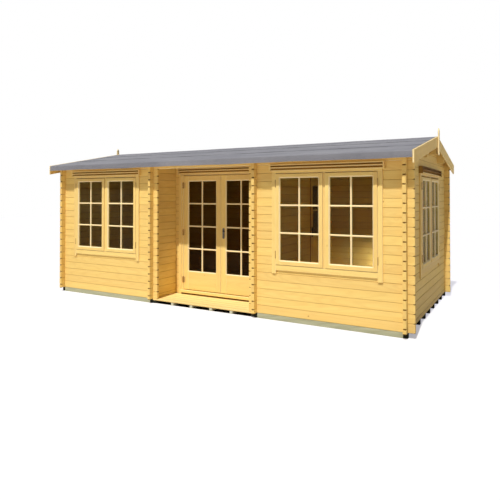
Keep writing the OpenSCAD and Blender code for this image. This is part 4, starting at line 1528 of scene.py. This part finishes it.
# %% Rings with skin
TURNED_SIDES, ROD_SIDES, CORNER_STEP = 18, 14, 15
PLATE_EASE = 0.0012


def skin(rings):
    """A closed skin over a row of rings of points."""
    count = len(rings[0])
    faces = [list(rings[0]), list(rings[-1])]
    for near, far in zip(rings, rings[1:]):
        faces += [[near[i - 1], near[i], far[i], far[i - 1]] for i in range(count)]
    return faces


def turned(profile, centre, axis="z"):
    """A round part from a profile of (radius, place along the axis)."""
    rings = []
    for radius, along in profile:
        ring = []
        for n in range(TURNED_SIDES):
            turn = 2 * math.pi * n / TURNED_SIDES
            p, q = radius * math.cos(turn), radius * math.sin(turn)
            offset = (p, q, along) if axis == "z" else (p, along, q)
            ring.append(tuple(c + o for c, o in zip(centre, offset)))
        rings.append(ring)
    return skin(rings)


def bent_rod(path, sizes):
    """A rod with an oval section (across, upright) along a path in the level plane."""
    path = [Vector(p) for p in path]
    rings = []
    for n, (point, (wide, tall)) in enumerate(zip(path, sizes)):
        way = (path[min(n + 1, len(path) - 1)] - path[max(n - 1, 0)]).normalized()
        side = way.cross(Vector((0, 0, 1))).normalized()
        up = side.cross(way)
        rings.append([
            tuple(point + side * wide * math.cos(t) + up * tall * math.sin(t))
            for t in (2 * math.pi * k / ROD_SIDES for k in range(ROD_SIDES))
        ])
    return skin(rings)


def plate(wide, tall, back, front, centre, corner):
    """A flat plate with round corners and an eased front."""
    def outline(inset, y):
        points = []
        for sx, sz, first in ((1, 1, 0), (-1, 1, 90), (-1, -1, 180), (1, -1, 270)):
            for step_by in range(0, 91, CORNER_STEP):
                turn = math.radians(first + step_by)
                points.append((
                    centre[0] + sx * (wide / 2 - corner) + (corner - inset) * math.cos(turn), y,
                    centre[2] + sz * (tall / 2 - corner) + (corner - inset) * math.sin(turn),
                ))
        return points
    toward = math.copysign(PLATE_EASE, back - front)
    return skin([outline(0, back), outline(0, front + toward), outline(PLATE_EASE, front)])


def moved(faces, matrix):
    return [[tuple(matrix @ Vector(p)) for p in face] for face in faces]


def fixed_metal(name, parts, finish, body, *nodes, matrix=None):
    """Metal parts made one piece and settled on a body."""
    return settle(gathered(name, parts, finish, matrix, edge=0), body, "dark_metal", *nodes)


print("metal helpers ready")

# %% [markdown]
# ## Door hinges
#
# Each door hangs on three hinges. A hinge is a barrel of three knuckles between two
# plates: the middle knuckle and one plate swing with the leaf, and the others stay on the
# frame. So they are pieces on different bodies, with thin gaps between the knuckles.

# %% Knuckles and hinge plates
BARREL, KNUCKLE, KNUCKLE_CUT, KNUCKLE_GAP = 0.0070, 0.026, 0.0008, 0.0005
TIP, TIP_STEPS = 0.006, ((0.8, 0.6), (0.35, 1.0))
PLATE_T, PLATE_CORNER, SCREW_STEP = 0.0025, 0.004, 0.032


def knuckle(x, y, low, high, tip=0):
    """One turned knuckle, with a domed tip below (-1), above (1) or none (0)."""
    ring, cut = BARREL - KNUCKLE_CUT, KNUCKLE_CUT
    profile = [(ring, low), (BARREL, low + cut), (BARREL, high - cut), (ring, high)]
    if tip > 0:
        profile += [(BARREL * thin, high + TIP * out) for thin, out in TIP_STEPS]
    if tip < 0:
        profile = [(BARREL * thin, low - TIP * out) for thin, out in reversed(TIP_STEPS)] + profile
    return turned(profile, (x, y, 0))


SCREWS = {}
PIN_NODES = {"left": "door_hinge_pins", "right": "door_hinge_pins", "inner": "inner_hinge_pins"}
fixed = {node: {"barrels": [], "plates": []} for node in PIN_NODES.values()}
for side, matrix in LEAVES.items():
    barrels, plates, screws = [], [], []
    pins = solids_of(PIN_NODES[side], matrix)
    for low, high in solids_of(f"{side}_door_hinges", matrix):
        pin = min(pins, key=lambda box: np.abs(np.add(*box) - low - high).sum())
        near, far = max(low[0], pin[0][0]), min(high[0], pin[1][0])
        x, y = (near + far) / 2, (low[1] + high[1]) / 2
        bottom, top, face = low[2], high[2], high[1]
        barrels.append(knuckle(x, y, bottom + KNUCKLE, top - KNUCKLE))
        fixed[PIN_NODES[side]]["barrels"] += [
            moved(knuckle(x, y, bottom, bottom + KNUCKLE - KNUCKLE_GAP, -1), matrix),
            moved(knuckle(x, y, top - KNUCKLE + KNUCKLE_GAP, top, 1), matrix),
        ]
        for box in ((low, high), pin):
            inner, outer = (far, box[1][0]) if box[1][0] > far + SKIN else (box[0][0], near)
            middle = ((inner + outer) / 2, 0, (bottom + top) / 2)
            flat = plate(outer - inner, top - bottom, face, face - PLATE_T, middle, PLATE_CORNER)
            spots = [
                matrix @ Vector((middle[0], face - PLATE_T, middle[2] + d))
                for d in (-SCREW_STEP, 0, SCREW_STEP)
            ]
            if box is pin:
                fixed[PIN_NODES[side]]["plates"].append(moved(flat, matrix))
                SCREWS.setdefault("root", []).extend(spots)
            else:
                plates.append(flat)
                screws += spots
    leaf = f"{side}_leaf"
    SCREWS[leaf] = screws
    fixed_metal(leaf + "_knuckles", barrels, bronze, leaf, f"{side}_door_hinges", matrix=matrix)
    fixed_metal(leaf + "_hinge_plates", plates, gilt, leaf, matrix=matrix)
for node, kinds in fixed.items():
    fixed_metal(node.replace("pins", "barrels"), kinds["barrels"], bronze, "root", node)
    fixed_metal(node.replace("pins", "plates"), kinds["plates"], gilt, "root")
print("hinges on", list(LEAVES))

# %% [markdown]
# ## Casement barrels
#
# Of the hinges of a casement only slim barrels show, two on each outer side. Each is one
# turned piece with pointed tips and a nick in the middle, where its two halves meet.

# %% Casement barrels
CASEMENT_BARREL, BARREL_LONG, BARREL_IN, BARREL_ASIDE = 0.0050, 0.090, 0.135, 0.004
BARREL_POINT, BARREL_TIP, NICK_DEEP, NICK_HALF = 0.002, 0.005, 0.001, 0.0008
half = BARREL_LONG / 2
upper = [(CASEMENT_BARREL, NICK_HALF), (CASEMENT_BARREL, half), (BARREL_POINT, half + BARREL_TIP)]
profile = [(r, -z) for r, z in reversed(upper)] + [(CASEMENT_BARREL - NICK_DEEP, 0)] + upper
barrels = []
for side, matrix in WINDOWS.items():
    lows, highs = zip(*solids_of(f"{side}_window_casements", matrix))
    low, high = np.min(lows, 0), np.max(highs, 0)
    for x in (low[0] - BARREL_ASIDE, high[0] + BARREL_ASIDE):
        for z in (low[2] + BARREL_IN, high[2] - BARREL_IN):
            barrels.append(moved(turned(profile, (x, low[1] - CASEMENT_PROUD, z)), matrix))
fixed_metal("casement_barrels", barrels, bronze, "root")
print("casement barrels:", len(barrels))

# %% [markdown]
# ## Lever handles
#
# The right porch door and the inner door have a lever on a tall plate, on both faces. The
# lever comes out of a round rose, bends and runs flat over the door. Its path and its
# sections are short tables, so that its bend can be changed point by point.

# %% Lever handles
PLATE_W, PLATE_H, PLATE_DROP, PLATE_ROUND = 0.038, 0.165, 0.010, 0.0185
PLATE_OUT, PLATE_SCREW = 0.006, 0.072
KEYHOLE, KEYHOLE_DROP = ((0.0075, 0.004), (0.0075, 0.0075), (0.0055, 0.009)), 0.030
ROSE, LEVER_UP = ((0.018, 0.004), (0.018, 0.009), (0.013, 0.012)), 0.034
LEVER_PATH = [
    (0, 0.005), (0, 0.015), (0, 0.024), (0.004, 0.029), (0.012, 0.032), (0.022, 0.033),
    (0.032, 0.032), (0.040, 0.030), (0.043, 0.029),
]
LEVER_SIZES = [(0.008, 0.008)] * 3 + [
    (0.0075, 0.009), (0.006, 0.0105), (0.005, 0.011), (0.0045, 0.0105), (0.004, 0.008), (0.002, 0.004),
]


def plate_middle(box):
    """Where the middle of a handle's plate lies, across the door and up."""
    low, high = box
    return low[0] + PLATE_W / 2, (low[2] + high[2]) / 2 - PLATE_DROP


def lever_handle(box, toward):
    """The plate with its keyhole, and the rose with its bent lever, on one face of a door."""
    back = box[1][1] if toward < 0 else box[0][1]
    x, z = plate_middle(box)

    def raised(profile):
        return [(radius, back + toward * out) for radius, out in profile]

    still = [
        plate(PLATE_W, PLATE_H, back, back + toward * PLATE_OUT, (x, 0, z), PLATE_ROUND),
        turned(raised(KEYHOLE), (x, 0, z - KEYHOLE_DROP), "y"),
    ]
    path = [(x + aside, y, z + LEVER_UP) for aside, y in raised(LEVER_PATH)]
    lever = [turned(raised(ROSE), (x, 0, z + LEVER_UP), "y"), bent_rod(path, LEVER_SIZES)]
    return still, lever


for side, finish in (("right", dark_nickel), ("inner", black_iron)):
    matrix, leaf = LEAVES[side], f"{side}_leaf"
    outer, inner = sorted(solids_of(f"{side}_door_handle", matrix), key=lambda box: box[0][1])
    still, lever = (a + b for a, b in zip(lever_handle(outer, -1), lever_handle(inner, 1)))
    fixed_metal(f"{side}_handle_plates", still, finish, leaf, f"{side}_door_handle", matrix=matrix)
    fixed_metal(f"{side}_levers", lever, black_iron, leaf, matrix=matrix)
    x, z = plate_middle(outer)
    for d in (-PLATE_SCREW, PLATE_SCREW):
        SCREWS[leaf].append(matrix @ Vector((x, outer[1][1] - PLATE_OUT, z + d)))
    print("lever handle on", leaf)

# %% [markdown]
# ## Heads of screws and nails
#
# Small heads repeat all over: screws in the plates, and flat nails along the laps of the
# felt. One tree sets a shallow cone on every point of a mesh. The points come in as
# loose vertices, so the same tree serves every body and both slopes of the roof. The
# screws come first: those of the inner door face +X, and all others face the porch.

# %% Heads on points
HEAD_SIDES, HEAD_TAPER = 10, 0.7
SCREW_R, SCREW_RISE, SCREW_ASIDE = 0.0034, 0.0012, 0.1
head_tree, wires = new_tree("nail_heads", ("Radius", "Rise"))
radius = wires["Radius"]
cone = Wire.node(head_tree, "GeometryNodeMeshCone", {}, {
    "Vertices": HEAD_SIDES, "Radius Top": radius * HEAD_TAPER, "Radius Bottom": radius,
    "Depth": wires["Rise"],
}, out="Mesh")
sockets = {"Geometry": cone, "Rotation": (math.pi / 2, 0, 0)}
cone = Wire.node(head_tree, "GeometryNodeTransform", {}, sockets)
sockets = {"Points": wires["Geometry"], "Instance": cone}
close_tree(head_tree, wires, Wire.node(head_tree, "GeometryNodeInstanceOnPoints", {}, sockets))


def heads_on(name, points, radius, rise, finish, matrix):
    """Heads that face -Y of a frame of their own, one on each point."""
    mesh = bpy.data.meshes.new(name + "_points")
    mesh.from_pydata([tuple(p) for p in points], [], [])
    return grown(name, head_tree, {"Radius": radius, "Rise": rise, "Finish": finish}, matrix, mesh)


inner_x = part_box("right_door")[1].x + SCREW_ASIDE
for body, spots in SCREWS.items():
    sets = []
    for way, matrix in (("y", Matrix.Identity(4)), ("x", QUARTER_TURN)):
        mine = [matrix.inverted() @ p for p in spots if (p.x > inner_x) == (way == "x")]
        if mine:
            sets.append(heads_on(f"{body}_{way}", mine, SCREW_R, SCREW_RISE, zinc, matrix))
    settle(joined(f"{body}_screws", zinc, sets), body, "dark_metal")
print("screws:", {body: len(spots) for body, spots in SCREWS.items()})

# %% [markdown]
# ## Felt nails
#
# Flat nails hold the felt along the eave, along each lap and along the ridge cap. They sit
# on straight lines at an even pitch, so their points are worked out on the front slope,
# and half a turn sets them on the back.

# %% Felt nails
NAIL_PITCH, NAIL_R, NAIL_RISE, NAIL_IN = 0.12, 0.0045, 0.0012, 0.05
LAP_NAIL, CAP_NAIL, EAVE_NAIL, NAIL_SEAT = 0.022, 0.020, 0.018, RIPPLE * 1.2
count = int(2 * (roof_x - NAIL_IN) / NAIL_PITCH)
nail_x = np.linspace(-roof_x + NAIL_IN, roof_x - NAIL_IN, count)
lines = [(k * exposed + LAP_NAIL, FELT_T * 2 + NAIL_SEAT) for k in range(1, STRIPS)]
lines.append((slope_all - CAP + CAP_NAIL, FELT_T * 1.8 + NAIL_SEAT))
slope_nails = [(x, -lift, up) for up, lift in lines for x in nail_x]
eave_nails = [(x, felt_low.y - RIPPLE, felt_low.z + EAVE_NAIL) for x in nail_x]
up_slope = Matrix.Translation((0, *slope_point(0, 0))) @ Matrix.Rotation(PITCH - math.pi / 2, 4, "X")
nails = joined("felt_nails", dull_zinc, [
    heads_on(f"nails_{n}", points, NAIL_R, NAIL_RISE, dull_zinc, matrix)
    for n, (points, matrix) in enumerate([
        (slope_nails, up_slope), (slope_nails, HALF_TURN @ up_slope),
        (eave_nails, Matrix.Identity(4)), (eave_nails, HALF_TURN),
    ])
])
settle(nails, "root", "roofing_felt")
print("felt nails:", len(nails.data.polygons) // (HEAD_SIDES + 2))

# %% [markdown]
# ## Size of the model
#
# The bounds of the dressed model are kept beside those of the solids. A finished piece
# must be about as large as the solids that it dresses.

# %% Bounds of the dressed model
size = {"cad": cad_box, "visual": [list(corner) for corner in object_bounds()]}
print("visual box", size["visual"])
